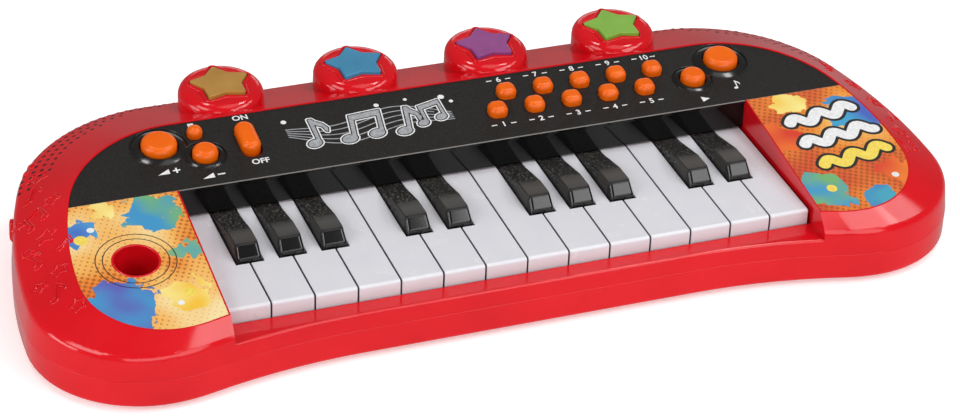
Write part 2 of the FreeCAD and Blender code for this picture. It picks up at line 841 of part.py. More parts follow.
def key_frame():
    half = white_count * key_pitch / 2
    plate = box((-half - post_width / 2, y_key + frame_front, z_frame),
                (half + post_width / 2, y_pivot + frame_tail, z_frame + frame_plate))
    posts = []
    for g in open_gaps:
        x = gap_x(g)
        posts.append(box((x - post_width / 2, y_pivot - post_half_depth, z_frame),
                         (x + post_width / 2, y_pivot + post_half_depth, z_pivot + post_cap)))
    bore = bar(-reach, reach, y_pivot, z_pivot, rod_radius + rod_fit)
    return plate.multiFuse(posts).removeSplitter().cut(bore)


def pivot_rod():
    half = white_count * key_pitch / 2 + post_width / 2
    return bar(-half, half, y_pivot, z_pivot, rod_radius)


def key_board_block(low, high):
    half = white_count * key_pitch / 2
    return box((-half, y_contact - key_board_width / 2, low), (half, y_contact + key_board_width / 2, high))


def key_contact_strip():
    sheet = key_board_block(z_key_sheet, z_key_sheet + sheet_thickness)
    places = [white_x(n) for n in whites] + [gap_x(g) for g in black_gaps]
    low = z_key_sheet + sheet_thickness
    domes = [Part.makeCone(contact_radius, contact_radius / 2, key_contact_height, Vector(x, y_contact, low))
             for x in places]
    return sheet.multiFuse(domes).removeSplitter()


def main_board_block(inset, low, high):
    return box((inset - main_board_half, main_board_run[0] + inset, low),
               (main_board_half - inset, main_board_run[1] - inset, high))


def star_board_block(low, high):
    back = y_star + star_board_back
    return box((-star_board_half, back - star_board_width, low), (star_board_half, back, high))


def panel_circuit_boards():
    main = on_deck(main_board_block(0, board_under, board_top))
    return [main, star_board_block(star_board_top - board_thickness, star_board_top)]


def button_contact_sheets():
    sheet = main_board_block(sheet_inset, board_top, sheet_top)
    shapes = [Part.makeCone(contact_radius, contact_radius / 2, contact_height, Vector(x, run, sheet_top))
              for make, size, x, run in button_list().values()]
    sheet = sheet.multiFuse(shapes)
    holes = [post(x, run, boss_radius + boss_room, board_top, sheet_top) for x, run in board_boss_places()]
    slot_width = 2 * (button_stem + sheet_inset)
    slot = capsule(slot_width + slider_travel, slot_width, board_top, sheet_top)
    slot.translate(Vector(-slider_x, slider_run - slider_travel / 2, 0))
    sheets = [on_deck(sheet.cut(holes + [slot]))]
    for n in stars:
        disc = post(star_x(n), y_star, contact_radius + sheet_inset, star_board_top, star_sheet_top)
        bump = Part.makeCone(contact_radius, contact_radius / 2, contact_height,
                             Vector(star_x(n), y_star, star_sheet_top))
        sheets.append(disc.fuse(bump))
    return sheets


def revolved(profile):
    points = [Vector(r, 0, z) for r, z in profile]
    return Part.Face(Part.makePolygon(points + points[:1])).revolve(Vector(0, 0, 0), Vector(0, 0, 1), 360)


def speakers():
    seat = speaker_seat
    magnet_top = z_floor + speaker_gap + magnet_height
    magnet_low = z_floor + speaker_gap
    profile = [(0, magnet_low), (magnet_radius, magnet_low), (magnet_radius, magnet_top), (cone_radius, seat),
               (speaker_radius, seat), (speaker_radius, seat + speaker_flange),
               (cone_radius, seat + speaker_flange), (cone_hub, magnet_top + speaker_flange),
               (0, magnet_top + 2 * speaker_flange)]
    solids = []
    for x, y in speaker_places():
        speaker = revolved(profile)
        speaker.translate(Vector(x, y, 0))
        solids.append(speaker)
    return solids


def battery_places():
    pitch = bay_depth / battery_count
    return [bay_near + pitch * (i + 0.5) for i in range(battery_count)]


def batteries():
    z = z_floor + battery_radius + battery_room
    cells = []
    for y in battery_places():
        end = battery_length / 2
        can = bar(-end, end - battery_nub, y, z, battery_radius)
        nub = bar(end - battery_nub, end, y, z, battery_nub_radius)
        cells.append(can.fuse(nub))
    return cells


def battery_contacts():
    z = z_floor + battery_radius + battery_room
    half = contact_plate_side / 2
    made = []
    for y in battery_places():
        plate = box((bay_half - contact_plate, y - half, z - half), (bay_half, y + half, z + half))
        tip = bar(battery_length / 2 + contact_gap, bay_half, y, z, contact_button)
        made += mirror_pair(plate.fuse(tip).removeSplitter())
    return made


def battery_cover():
    round_radius = wall / 2
    y_axis = bay_far - cover_room - round_radius
    half = bay_half - cover_room
    plate = box((-half, bay_near + cover_room, z_under), (half, y_axis, z_floor))
    edge = bar(-half, half, y_axis, z_under + round_radius, round_radius)
    grips = [box((-grip_half, bay_near + cover_room + grip_pitch * (i + 1), z_under),
                 (grip_half, bay_near + cover_room + grip_pitch * (i + 1) + grip_width, z_under + grip_depth))
             for i in range(grip_count)]
    return plate.fuse(edge).removeSplitter().cut(grips)


def shell_screws():
    seat = z_seam - screw_seat
    made = []
    for x, y in screw_places():
        head = post(x, y, screw_head, seat - screw_head_height, seat)
        shank = post(x, y, screw_radius, seat, z_seam + screw_length - screw_seat)
        slots = [box((x - screw_head, y - screw_slot / 2, 0), (x + screw_head, y + screw_slot / 2,
                     seat - screw_head_height / 2)),
                 box((x - screw_slot / 2, y - screw_head, 0), (x + screw_slot / 2, y + screw_head,
                     seat - screw_head_height / 2))]
        made.append(head.fuse(shank).removeSplitter().cut(slots))
    return made


def microphone_jack():
    point, out = jack_axis()
    collar = along(point, out, -jack_seat, jack_proud, jack_collar)
    rim = [e for e in collar.Edges if e.Closed and (e.CenterOfMass - point).dot(out) > 0]
    collar = collar.makeFillet(jack_round, rim)
    body = along(point, out, -jack_length, -jack_seat, jack_radius)
    bore = along(point, out, jack_proud - jack_length, jack_proud, jack_bore)
    return collar.fuse(body).removeSplitter().cut(bore)


def save(name, shape):
    solids = shape if isinstance(shape, list) else [shape]
    solids = [s for piece in solids for s in piece.Solids]
    whole = solids[0] if len(solids) == 1 else Part.makeCompound(solids)
    whole.exportStep("parts/%s.step" % name)
    state = "valid" if whole.isValid() else "NOT VALID"
    print(name, len(solids), "solids", round(whole.Volume), "mm3", state)


os.makedirs("parts", exist_ok=True)
save("upper_shell", upper_shell())
save("lower_shell", lower_shell())
save("control_panel", control_panel())
save("side_labels", side_labels())
for n in whites:
    save("white_key_%02d" % n, white_key(n))
for n, g in enumerate(black_gaps):
    save("black_key_%02d" % (n + 1), black_key(g))
for name, (make, size, x, run) in button_list().items():
    save(name, button(make, size, x, run))
save("power_slider", power_slider())
for n in stars:
    save("star_button_%d" % n, star_button(n))
save("key_frame", key_frame())
save("pivot_rod", pivot_rod())
save("key_contact_strip", key_contact_strip())
save("key_circuit_board", key_board_block(z_key_board, z_key_sheet))
save("panel_circuit_boards", panel_circuit_boards())
save("button_contact_sheets", button_contact_sheets())
save("speakers", speakers())
save("batteries", batteries())
save("battery_contacts", battery_contacts())
save("battery_cover", battery_cover())
save("shell_screws", shell_screws())
save("microphone_jack", microphone_jack())
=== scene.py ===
import json
import math

import bmesh
import bpy
from mathutils import Matrix, Vector
from mathutils.geometry import delaunay_2d_cdt


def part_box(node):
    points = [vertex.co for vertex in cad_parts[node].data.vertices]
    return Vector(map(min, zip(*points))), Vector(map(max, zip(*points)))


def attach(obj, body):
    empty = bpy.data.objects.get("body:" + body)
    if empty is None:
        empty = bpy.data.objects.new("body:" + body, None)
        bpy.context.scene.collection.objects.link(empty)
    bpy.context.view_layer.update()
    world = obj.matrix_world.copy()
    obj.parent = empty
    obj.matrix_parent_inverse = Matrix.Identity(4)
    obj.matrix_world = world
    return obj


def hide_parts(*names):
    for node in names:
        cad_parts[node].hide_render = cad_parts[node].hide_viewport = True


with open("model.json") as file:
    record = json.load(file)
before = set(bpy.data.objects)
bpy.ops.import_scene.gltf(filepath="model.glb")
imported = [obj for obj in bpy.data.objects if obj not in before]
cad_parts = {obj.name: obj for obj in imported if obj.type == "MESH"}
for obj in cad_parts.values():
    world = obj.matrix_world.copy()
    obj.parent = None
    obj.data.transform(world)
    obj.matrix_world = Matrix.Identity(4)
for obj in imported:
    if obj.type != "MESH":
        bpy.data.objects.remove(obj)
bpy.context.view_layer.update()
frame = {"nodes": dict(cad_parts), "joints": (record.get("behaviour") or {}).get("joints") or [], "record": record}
nodes = frame["nodes"]
joints = {j["name"]: j for j in frame["joints"]}
mm = 0.001

# the sloped panel: its normal is against the way a button is pressed, and its back edge is the node's highest line
panelLow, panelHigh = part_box("control_panel")
panelNormal = -Vector(joints["stop_button_slide"]["axis"]).normalized()
upSlope = panelNormal.cross(Vector((1, 0, 0)))
panelEdge = Vector((0, panelHigh.y, panelHigh.z)) - upSlope * ((panelHigh.y - panelLow.y) / upSlope.y)


def onPanel(x, run, lift):
    # millimetres across, up the slope from the panel's front edge, and above the panel
    return panelEdge + (Vector((1, 0, 0)) * x + upSlope * run + panelNormal * lift) * mm


capDepth = 0.05       # millimetres: what lies this near a button's highest point is its flat top


def capPlace(node):
    # middle of a button's flat top, as (across, up the slope) in millimetres
    points = [v.co for v in nodes[node].data.vertices]
    top = max(p.dot(panelNormal) for p in points)
    cap = [p - panelEdge for p in points if p.dot(panelNormal) > top - capDepth * mm]
    across = [p.x / mm for p in cap]
    run = [p.dot(upSlope) / mm for p in cap]
    return (min(across) + max(across)) / 2, (min(run) + max(run)) / 2


def linear(hexColour):
    channels = [int(hexColour[i:i + 2], 16) / 255 for i in (1, 3, 5)]
    return (*[c / 12.92 if c <= 0.04045 else ((c + 0.055) / 1.055) ** 2.4 for c in channels], 1.0)


def addObject(name, data):
    thing = bpy.data.objects.new(name, data)
    bpy.context.scene.collection.objects.link(thing)
    return thing


def plainMesh(thing):
    # what the object's modifiers or curve make of it, as a mesh of its own
    return bpy.data.meshes.new_from_object(thing.evaluated_get(bpy.context.evaluated_depsgraph_get()))


def ring(steps):
    # angles once round, with the first one again at the end
    return [2 * math.pi * i / steps for i in range(steps + 1)]


def addNode(tree, kind, inputs=None, **settings):
    node = tree.nodes.new(kind)
    for key, value in settings.items():
        setattr(node, key, value)
    for socket, value in (inputs or {}).items():
        if isinstance(value, bpy.types.NodeSocket):
            tree.links.new(value, node.inputs[socket])
        else:
            node.inputs[socket].default_value = value
    return node


def startMaterial(name, **sockets):
    # a named material with a Principled shader, and the piece's own coordinates in millimetres
    material = bpy.data.materials.new(name)
    material.use_nodes = True
    tree = material.node_tree
    tree.nodes.clear()
    values = {key.replace("_", " "): value for key, value in sockets.items()}
    shader = addNode(tree, "ShaderNodeBsdfPrincipled", values)
    addNode(tree, "ShaderNodeOutputMaterial", {"Surface": shader.outputs[0]})
    place = addNode(tree, "ShaderNodeTexCoord")
    inMm = addNode(tree, "ShaderNodeVectorMath", {0: place.outputs["Object"], 3: 1 / mm}, operation="SCALE")
    return material, tree, shader, inMm.outputs[0]


def setRamp(node, stops):
    ramp = node.color_ramp
    while len(ramp.elements) < len(stops):
        ramp.elements.new(1.0)
    for element, (position, colour) in zip(ramp.elements, stops):
        element.position = position
        element.color = linear(colour)
    return node.outputs[0]


def cloudColour(tree, place, size, stops, detail):
    # soft clouds of a size in millimetres, and a colour that runs with them
    cloud = addNode(tree, "ShaderNodeTexNoise", {"Vector": place, "Scale": 1 / size, "Detail": detail}).outputs[0]
    return cloud, setRamp(addNode(tree, "ShaderNodeValToRGB", {0: cloud}), stops)


def cloudGloss(tree, cloud, look):
    # a roughness that runs with the clouds
    (low, _), (high, _) = look["clouds"]
    smooth, rough = look["roughness"]
    return addNode(tree, "ShaderNodeMapRange", {0: cloud, 1: low, 2: high, 3: smooth, 4: rough}).outputs[0]


def sideShare(tree, facing):
    # 0 to 1 as a face turns towards the low or the high end
    normal = addNode(tree, "ShaderNodeSeparateXYZ", {0: addNode(tree, "ShaderNodeNewGeometry").outputs["Normal"]})
    sideways = addNode(tree, "ShaderNodeMath", {0: normal.outputs[0]}, operation="ABSOLUTE")
    return addNode(tree, "ShaderNodeMapRange", {0: sideways.outputs[0], 1: facing[0], 2: facing[1]}).outputs[0]


def finishShader(tree, shader, colour, height, depth, gloss=None):
    # the height's whole range stands out by the depth, in millimetres
    bump = addNode(tree, "ShaderNodeBump", {"Height": height, "Distance": depth * mm, "Strength": 1.0})
    tree.links.new(colour, shader.inputs["Base Color"])
    tree.links.new(bump.outputs[0], shader.inputs["Normal"])
    if gloss is not None:
        tree.links.new(gloss, shader.inputs["Roughness"])


# ABS from a polished mould: clean deep red, sharp highlights that waver a little where the wall sank
redLook = {"clouds": [(0.3, "#cb0c18"), (0.7, "#d70e1b")], "roughness": (0.1, 0.15), "cloudSize": 35.0,
           "sinkSize": 22.0, "sinkDepth": 0.012}


def polishedRedAbs(look):
    material, tree, shader, place = startMaterial("polished_red_abs", IOR=1.49)
    cloud, colour = cloudColour(tree, place, look["cloudSize"], look["clouds"], detail=3.0)
    sink = addNode(tree, "ShaderNodeTexNoise", {"Vector": place, "Scale": 1 / look["sinkSize"], "Detail": 1.0})
    finishShader(tree, shader, colour, sink.outputs[0], look["sinkDepth"], cloudGloss(tree, cloud, look))
    return material


# ABS from a spark-eroded mould: soft black with a fine grain on the slope, polished in the dishes and on the front,
# and a painted highlight along the front edge. The grain is drawn at 0.9 mm, coarser than the real one, so that it
# shows
panelLook = {"specks": [(0.42, "#151311"), (0.72, "#272421")], "polishedColour": "#100f0f", "grain": 0.9,
             "grainDepth": 0.02, "roughness": 0.48, "polished": 0.09, "polishedBelow": 0.06, "specular": 0.3,
             "edgeHighlightColour": "#75726e", "edgeWidth": 0.35, "edgeDrop": 0.3}


def sparkedBlackAbs(look):
    material, tree, shader, place = startMaterial("sparked_black_abs", IOR=1.5, Specular_IOR_Level=look["specular"])
    height = addNode(tree, "ShaderNodeVectorMath", {0: place, 1: panelNormal}, operation="DOT_PRODUCT")
    level = panelEdge.dot(panelNormal) / mm - look["polishedBelow"]
    grained = addNode(tree, "ShaderNodeMath", {0: height.outputs["Value"], 1: level}, operation="GREATER_THAN")
    grain, speck = cloudColour(tree, place, look["grain"], look["specks"], detail=2.0)
    colour = addNode(tree, "ShaderNodeMix", {0: grained.outputs[0], 6: linear(look["polishedColour"]), 7: speck},
                     data_type="RGBA")
    gloss = addNode(tree, "ShaderNodeMapRange", {0: grained.outputs[0], 3: look["polished"], 4: look["roughness"]})
    lift = addNode(tree, "ShaderNodeMath", {0: grain, 1: grained.outputs[0]}, operation="MULTIPLY")
    # a pale band along the panel's front edge, near its top, is a painted highlight
    run = addNode(tree, "ShaderNodeVectorMath", {0: place, 1: upSlope}, operation="DOT_PRODUCT")
    edge = panelEdge.dot(upSlope) / mm + look["edgeWidth"]
    front = addNode(tree, "ShaderNodeMath", {0: run.outputs["Value"], 1: edge}, operation="LESS_THAN")
    upper = addNode(tree, "ShaderNodeMath", {0: height.outputs["Value"], 1: level - look["edgeDrop"]},
                    operation="GREATER_THAN")
    highlightBand = addNode(tree, "ShaderNodeMath", {0: front.outputs[0], 1: upper.outputs[0]}, operation="MULTIPLY")
    withHighlight = addNode(tree, "ShaderNodeMix", {0: highlightBand.outputs[0], 6: colour.outputs[2],
                                           7: linear(look["edgeHighlightColour"])}, data_type="RGBA")
    finishShader(tree, shader, withHighlight.outputs[2], lift.outputs[0], look["grainDepth"], gloss.outputs[0])
    return material


# white ABS: bright, faintly cool, a soft sheen with barely any texture; the sides between the keys get painted shade
whiteKeyLook = {"clouds": [(0.3, "#d8d7dd"), (0.7, "#dcdbe0")], "sides": "#85838a", "sideFacing": (0.8, 0.95),
                "roughness": (0.24, 0.28), "cloudSize": 14.0, "orangePeel": 2.6, "peelDepth": 0.003}


def whiteKeyAbs(look):
    material, tree, shader, place = startMaterial("white_key_abs", IOR=1.5)
    cloud, colour = cloudColour(tree, place, look["cloudSize"], look["clouds"], detail=4.0)
    # faces turned towards the neighbouring keys take a darker colour: painted shade for the gaps between the keys
    sideShaded = addNode(tree, "ShaderNodeMix", {0: sideShare(tree, look["sideFacing"]), 6: colour,
                                            7: linear(look["sides"])}, data_type="RGBA")
    peel = addNode(tree, "ShaderNodeTexNoise", {"Vector": place, "Scale": 1 / look["orangePeel"]})
    finishShader(tree, shader, sideShaded.outputs[2], peel.outputs[0], look["peelDepth"], cloudGloss(tree, cloud, look))
    return material


# black ABS: polished front face, satin crest with a dull edge whose lighter colour is partly a painted sheen, dull
# sides, and a grain on the slope behind whose pale specks are painted glints.
# The grain is drawn at 0.9 mm, coarser than the real one, so that it shows
blackKeyLook = {"colour": "#111010", "crestSheenColour": "#33302c", "glintColour": "#6b6660", "grain": 0.9,
                "grainDepth": 0.06, "sparkle": (0.53, 0.68), "sideFacing": (0.86, 0.96), "front": 0.1, "crest": 0.32,
                "slope": 0.42, "dull": 0.62, "dullEdge": 0.55, "crestStart": 4.8, "crestEnd": 16.5, "fade": 0.4}


def blackKeyAbs(look):
    material, tree, shader, place = startMaterial("black_key_abs", IOR=1.5)
    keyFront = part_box("black_key_01")[0].y / mm
    along = addNode(tree, "ShaderNodeSeparateXYZ", {0: place})
    crestStart, crestEnd = keyFront + look["crestStart"], keyFront + look["crestEnd"]
    slope = addNode(tree, "ShaderNodeMapRange", {0: along.outputs[1], 1: crestEnd - look["fade"],
                                                 2: crestEnd + look["fade"]})
    crest = addNode(tree, "ShaderNodeMath", {0: along.outputs[1], 1: crestStart + look["dullEdge"]},
                    operation="GREATER_THAN")
    edge = addNode(tree, "ShaderNodeMath", {0: along.outputs[1], 1: crestStart, 2: look["dullEdge"]},
                   operation="COMPARE")
    dull = addNode(tree, "ShaderNodeMath", {0: edge.outputs[0], 1: sideShare(tree, look["sideFacing"])},
                   operation="MAXIMUM")
    # pale specks on the slope are painted glints of the grain; the same specks also raise a real bump
    grain = addNode(tree, "ShaderNodeTexNoise", {"Vector": place, "Scale": 1 / look["grain"], "Detail": 2.0})
    sparkle = addNode(tree, "ShaderNodeMapRange", {0: grain.outputs[0], 1: look["sparkle"][0], 2: look["sparkle"][1]})
    onSlope = addNode(tree, "ShaderNodeMath", {0: sparkle.outputs[0], 1: slope.outputs[0]}, operation="MULTIPLY")
    # the crest's lighter colour is partly its satin finish and partly a painted sheen
    sheenShare = addNode(tree, "ShaderNodeMath", {0: crest.outputs[0], 1: slope.outputs[0]}, operation="SUBTRACT",
                    use_clamp=True)
    ground = addNode(tree, "ShaderNodeMix", {0: sheenShare.outputs[0], 6: linear(look["colour"]),
                                             7: linear(look["crestSheenColour"])}, data_type="RGBA")
    colour = addNode(tree, "ShaderNodeMix", {0: onSlope.outputs[0], 6: ground.outputs[2],
                                             7: linear(look["glintColour"])}, data_type="RGBA")
    crestGloss = addNode(tree, "ShaderNodeMapRange", {0: crest.outputs[0], 3: look["front"], 4: look["crest"]})
    topGloss = addNode(tree, "ShaderNodeMix", {0: slope.outputs[0], 2: crestGloss.outputs[0], 3: look["slope"]})
    gloss = addNode(tree, "ShaderNodeMix", {0: dull.outputs[0], 2: topGloss.outputs[0], 3: look["dull"]})
    finishShader(tree, shader, colour.outputs[2], onSlope.outputs[0], look["grainDepth"], gloss.outputs[0])
    return material


# tinted ABS caps: even strong colour, satin, with a light orange peel; one recipe for the buttons and the star pads
capLooks = {"orange": ("#ef6903", "#e45d02", 0.3), "gold": ("#b98a3f", "#a3752f", 0.26),
            "blue": ("#408cb2", "#357da2", 0.26), "purple": ("#95498a", "#843d7b", 0.26),
            "green": ("#86b845", "#76a539", 0.26)}
capGrain = {"cloudSize": 16.0, "clouds": (0.25, 0.75), "orangePeel": 1.6, "peelDepth": 0.004, "specular": 0.35}


def tintedCapAbs(tint):
    bright, deep, roughness = capLooks[tint]
    material, tree, shader, place = startMaterial(tint + "_cap_abs", IOR=1.5, Roughness=roughness,
                                                  Specular_IOR_Level=capGrain["specular"])
    stops = list(zip(capGrain["clouds"], (deep, bright)))
    _, colour = cloudColour(tree, place, capGrain["cloudSize"], stops, detail=3.0)
    peel = addNode(tree, "ShaderNodeTexNoise", {"Vector": place, "Scale": 1 / capGrain["orangePeel"]})
    finishShader(tree, shader, colour, peel.outputs[0], capGrain["peelDepth"])
    return material


# printed polyester film: a warm ground with a screen of dots, and splashes of paint with ragged edges, under a satin
# coat. A splash is (across, back, radius, one colour, the colour it runs into), in millimetres
labelLook = {
    "warm": [(0.3, "#f3dca0"), (0.46, "#f0b45c"), (0.56, "#e8892f"), (0.72, "#d2512c")], "warmSize": 46.0,
    "highEndShift": 0.1, "screenColour": "#8f3f16", "screenPitch": 2.5, "screenTurn": 27.0, "screenStrength": 0.62,
    "dots": (0.12, 0.44), "dotsGrow": (0.4, 0.56), "raggedSize": 9.0, "raggedDepth": 22.0, "raggedness": 0.45,
    "swirl": 0.6, "gradeSize": 20.0, "grade": (0.35, 0.65), "edge": 0.25, "roughness": 0.34, "coat": 0.2,
    "splashes": [
        (-175, -62, 15, "#5c5fb4", "#3f95c6"), (-150, -8, 12, "#3f93c4", "#6fae74"),
        (-184, -14, 8, "#4467bd", "#4f9fd0"), (-147, -62, 9, "#f4e48c", "#f2bf3a"),
        (-139, -36, 6, "#3f9cc0", "#86b45c"), (-168, -4, 5, "#f4e48c", "#f0b030"),
        (143, -66, 12, "#3f95c6", "#72ae70"), (181, -18, 13, "#4a64b8", "#419fc8"),
        (183, -62, 10, "#d8432a", "#ea7f2e"), (152, -4, 8, "#f4e48c", "#f2bf3a"),
        (139, -28, 10, "#d63c28", "#e8702c"), (166, -76, 7, "#4467bd", "#45a0b8")]}


def printedFilm(look):
    material, tree, shader, place = startMaterial("printed_film", IOR=1.5, Roughness=look["roughness"],
                                                  Coat_Weight=look["coat"])
    across = addNode(tree, "ShaderNodeSeparateXYZ", {0: place})
    highEnd = addNode(tree, "ShaderNodeMath", {0: across.outputs[0], 1: 0.0}, operation="GREATER_THAN")

    warmNoise = addNode(tree, "ShaderNodeTexNoise", {"Vector": place, "Scale": 1 / look["warmSize"], "Detail": 2.0})
    warmShare = addNode(tree, "ShaderNodeMath", {0: highEnd.outputs[0], 1: look["highEndShift"],
                                                 2: warmNoise.outputs[0]}, operation="MULTIPLY_ADD")
    colour = setRamp(addNode(tree, "ShaderNodeValToRGB", {0: warmShare.outputs[0]}), look["warm"])

    turn = math.radians(look["screenTurn"])
    turned = addNode(tree, "ShaderNodeMapping", {"Vector": place, "Rotation": (0, 0, turn), "Scale": (1, 1, 0)})
    screen = addNode(tree, "ShaderNodeTexVoronoi", {"Vector": turned.outputs[0], "Scale": 1 / look["screenPitch"],
                                                    "Randomness": 0.0}, voronoi_dimensions="2D", distance="MANHATTAN")
    dotSize = addNode(tree, "ShaderNodeMapRange", {0: warmNoise.outputs[0], 1: look["dotsGrow"][0],
                                                   2: look["dotsGrow"][1], 3: look["dots"][0], 4: look["dots"][1]})
    dot = addNode(tree, "ShaderNodeMath", {0: screen.outputs["Distance"], 1: dotSize.outputs[0]},
                  operation="LESS_THAN")
    dotShare = addNode(tree, "ShaderNodeMath", {0: dot.outputs[0], 1: look["screenStrength"]}, operation="MULTIPLY")
    colour = addNode(tree, "ShaderNodeMix", {0: dotShare.outputs[0], 6: colour, 7: linear(look["screenColour"])},
                     data_type="RGBA").outputs[2]

    flat = addNode(tree, "ShaderNodeMapping", {"Vector": place, "Scale": (1, 1, 0)})
    ragged = addNode(tree, "ShaderNodeTexNoise", {"Vector": flat.outputs[0], "Scale": 1 / look["raggedSize"],
                                                  "Detail": 4.0, "Roughness": look["raggedness"],
                                                  "Distortion": look["swirl"]})
    grade = addNode(tree, "ShaderNodeTexNoise", {"Vector": flat.outputs[0], "Scale": 1 / look["gradeSize"],
                                                 "Detail": 1.0})
    run = addNode(tree, "ShaderNodeMapRange", {0: grade.outputs[0], 1: look["grade"][0], 2: look["grade"][1]})
    half = look["edge"] / 2
    for x, y, radius, first, second in look["splashes"]:
        far = addNode(tree, "ShaderNodeVectorMath", {0: flat.outputs[0], 1: (x, y, 0)}, operation="DISTANCE")
        torn = addNode(tree, "ShaderNodeMath", {0: ragged.outputs[0], 1: look["raggedDepth"],
                                                2: far.outputs["Value"]}, operation="MULTIPLY_ADD")
        limit = radius + look["raggedDepth"] / 2
        inside = addNode(tree, "ShaderNodeMapRange", {0: torn.outputs[0], 1: limit - half, 2: limit + half, 3: 1.0,
                                                      4: 0.0})
        paint = addNode(tree, "ShaderNodeMix", {0: run.outputs[0], 6: linear(first), 7: linear(second)},
                        data_type="RGBA")
        colour = addNode(tree, "ShaderNodeMix", {0: inside.outputs[0], 6: colour, 7: paint.outputs[2]},
                         data_type="RGBA").outputs[2]
    tree.links.new(colour, shader.inputs["Base Color"])
    return material


# inks, trim, and what sits inside or shows only from below, each with its own grain in millimetres:
# bright colour, deep colour, roughness, metallic, grain
plainBump = 0.004
plainClouds = (0.35, 0.65)
plainLooks = {
    "grey_frame_abs": ("#6f6f70", "#626263", 0.45, 0.0, 2.0),        # moulded grey, dull
    "zinc_plated_steel": ("#b9bcc0", "#9fa3a8", 0.32, 1.0, 1.2),     # cool bright metal, slightly uneven
    "silicone_rubber": ("#a9aaac", "#989a9c", 0.7, 0.0, 1.5),        # chalky grey
    "paper_laminate": ("#a5713a", "#8f5f2d", 0.55, 0.0, 3.0),        # brown board with fibre clouds
    "speaker_paper": ("#232224", "#161517", 0.8, 0.0, 1.0),          # felted black pulp
    "battery_sleeve": ("#3c3f46", "#33363d", 0.3, 0.0, 9.0),         # plain dark shrink sleeve
    "nickel_plate": ("#c9c2b4", "#b3ac9e", 0.25, 1.0, 1.5),          # warm bright metal
    "white_ink": ("#ececec", "#dcdcdc", 0.5, 0.0, 1.6),              # opaque screen print, faintly mottled
    "polished_black_abs": ("#1c1b1a", "#161514", 0.15, 0.0, 4.0),    # black bead that catches a thin line of light
    "silver_ink": ("#c3c5c8", "#a4a6aa", 0.36, 0.35, 1.4),           # metallic flakes in a grey binder
    "black_ink": ("#191817", "#121111", 0.5, 0.0, 1.2),              # dull screen print
    "yellow_ink": ("#f0da5e", "#e6c84c", 0.5, 0.0, 1.6),             # opaque print, faintly mottled
    "painted_hole_shade": ("#24090a", "#140506", 0.7, 0.0, 1.0)}           # a hole's unlit inside


def plainMaterial(name):
    bright, deep, roughness, metallic, grain = plainLooks[name]
    material, tree, shader, place = startMaterial(name, Roughness=roughness, Metallic=metallic)
    cloud, colour = cloudColour(tree, place, grain, list(zip(plainClouds, (deep, bright))), detail=3.0)
    finishShader(tree, shader, colour, cloud, plainBump)
    return material


redAbs = polishedRedAbs(redLook)
plainSlots = {"inner_frame": "grey_frame_abs", "steel": "zinc_plated_steel", "contact_rubber": "silicone_rubber",
              "circuit_board": "paper_laminate", "speaker": "speaker_paper", "battery": "battery_sleeve",
              "nickel_plate": "nickel_plate"}
finishes = {"red_shell": redAbs, "black_panel": sparkedBlackAbs(panelLook), "printed_label": printedFilm(labelLook),
            "white_key": whiteKeyAbs(whiteKeyLook), "black_key": blackKeyAbs(blackKeyLook),
            "orange_button": tintedCapAbs("orange"),
            **{tint + "_star": tintedCapAbs(tint) for tint in ("gold", "blue", "purple", "green")},
            **{slot: plainMaterial(name) for slot, name in plainSlots.items()}}
for part in frame["record"]["subparts"]:
    mesh = nodes[part["node"]].data
    mesh.materials.clear()
    mesh.materials.append(finishes[part["material_slot"]])


# the black keys' upright front corners are rolled over, finer than the solids have them: millimetres and degrees
blackKeyEdge = {"round": 1.7, "steps": 6, "reach": 6.2, "below": 2.0, "upright": 0.7, "sharpest": 25.0,
                "smoothBelow": 38.0, "creaseWidth": 3.0, "creaseNear": 0.4, "merge": 0.001, "flat": 0.5,
                "weight": 100}


def rolledBlackKey(node, look):
    shape = bmesh.new()
    shape.from_mesh(nodes[node].data)
    bmesh.ops.remove_doubles(shape, verts=shape.verts, dist=look["merge"] * mm)
    bmesh.ops.dissolve_limit(shape, angle_limit=math.radians(look["flat"]), verts=shape.verts, edges=shape.edges)
    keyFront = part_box(node)[0].y
    front = keyFront + look["reach"] * mm
    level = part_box("white_key_01")[1].z - look["below"] * mm
    corners = []
    for edge in shape.edges:
        ends = [v.co for v in edge.verts]
        along = (ends[1] - ends[0]).normalized()
        upright = abs(along.x) < look["upright"] and all(p.y < front and p.z > level for p in ends)
        if upright and edge.calc_face_angle(0) > math.radians(look["sharpest"]):
            corners.append(edge)
    bmesh.ops.bevel(shape, geom=corners, offset=look["round"] * mm, offset_type="OFFSET", profile=0.5,
                    segments=look["steps"], affect="EDGES", clamp_overlap=False)
    crest = keyFront + blackKeyLook["crestEnd"] * mm
    for face in shape.faces:
        face.smooth = True
    for edge in shape.edges:
        ends = [v.co for v in edge.verts]
        onCrest = all(abs(p.y - crest) < look["creaseNear"] * mm for p in ends)
        crease = onCrest and edge.calc_length() > look["creaseWidth"] * mm
        edge.smooth = not crease and edge.calc_face_angle(0) < math.radians(look["smoothBelow"])
    mesh = bpy.data.meshes.new(node + "_rolled")
    shape.to_mesh(mesh)
    shape.free()
    mesh.materials.append(finishes["black_key"])
    holder = addObject(node + "_shape", mesh)
    even = holder.modifiers.new("even", "WEIGHTED_NORMAL")       # keeps the flat sides flat beside the rolled edges
    even.keep_sharp = True
    even.weight = look["weight"]
    piece = addObject(node + "_rolled", plainMesh(holder))
    bpy.data.objects.remove(holder)
    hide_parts(node)
    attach(piece, node)


blackKeys = [name for name in nodes if name.startswith("black_key")]
for name in blackKeys:
    rolledBlackKey(name, blackKeyEdge)
print("black keys rolled at the front corners:", len(blackKeys))


def keepMesh(holder, name):
    # the evaluated result of a node tree as a plain mesh piece on the case
    piece = addObject(name, plainMesh(holder))
    bpy.data.objects.remove(holder)
    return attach(piece, "case")


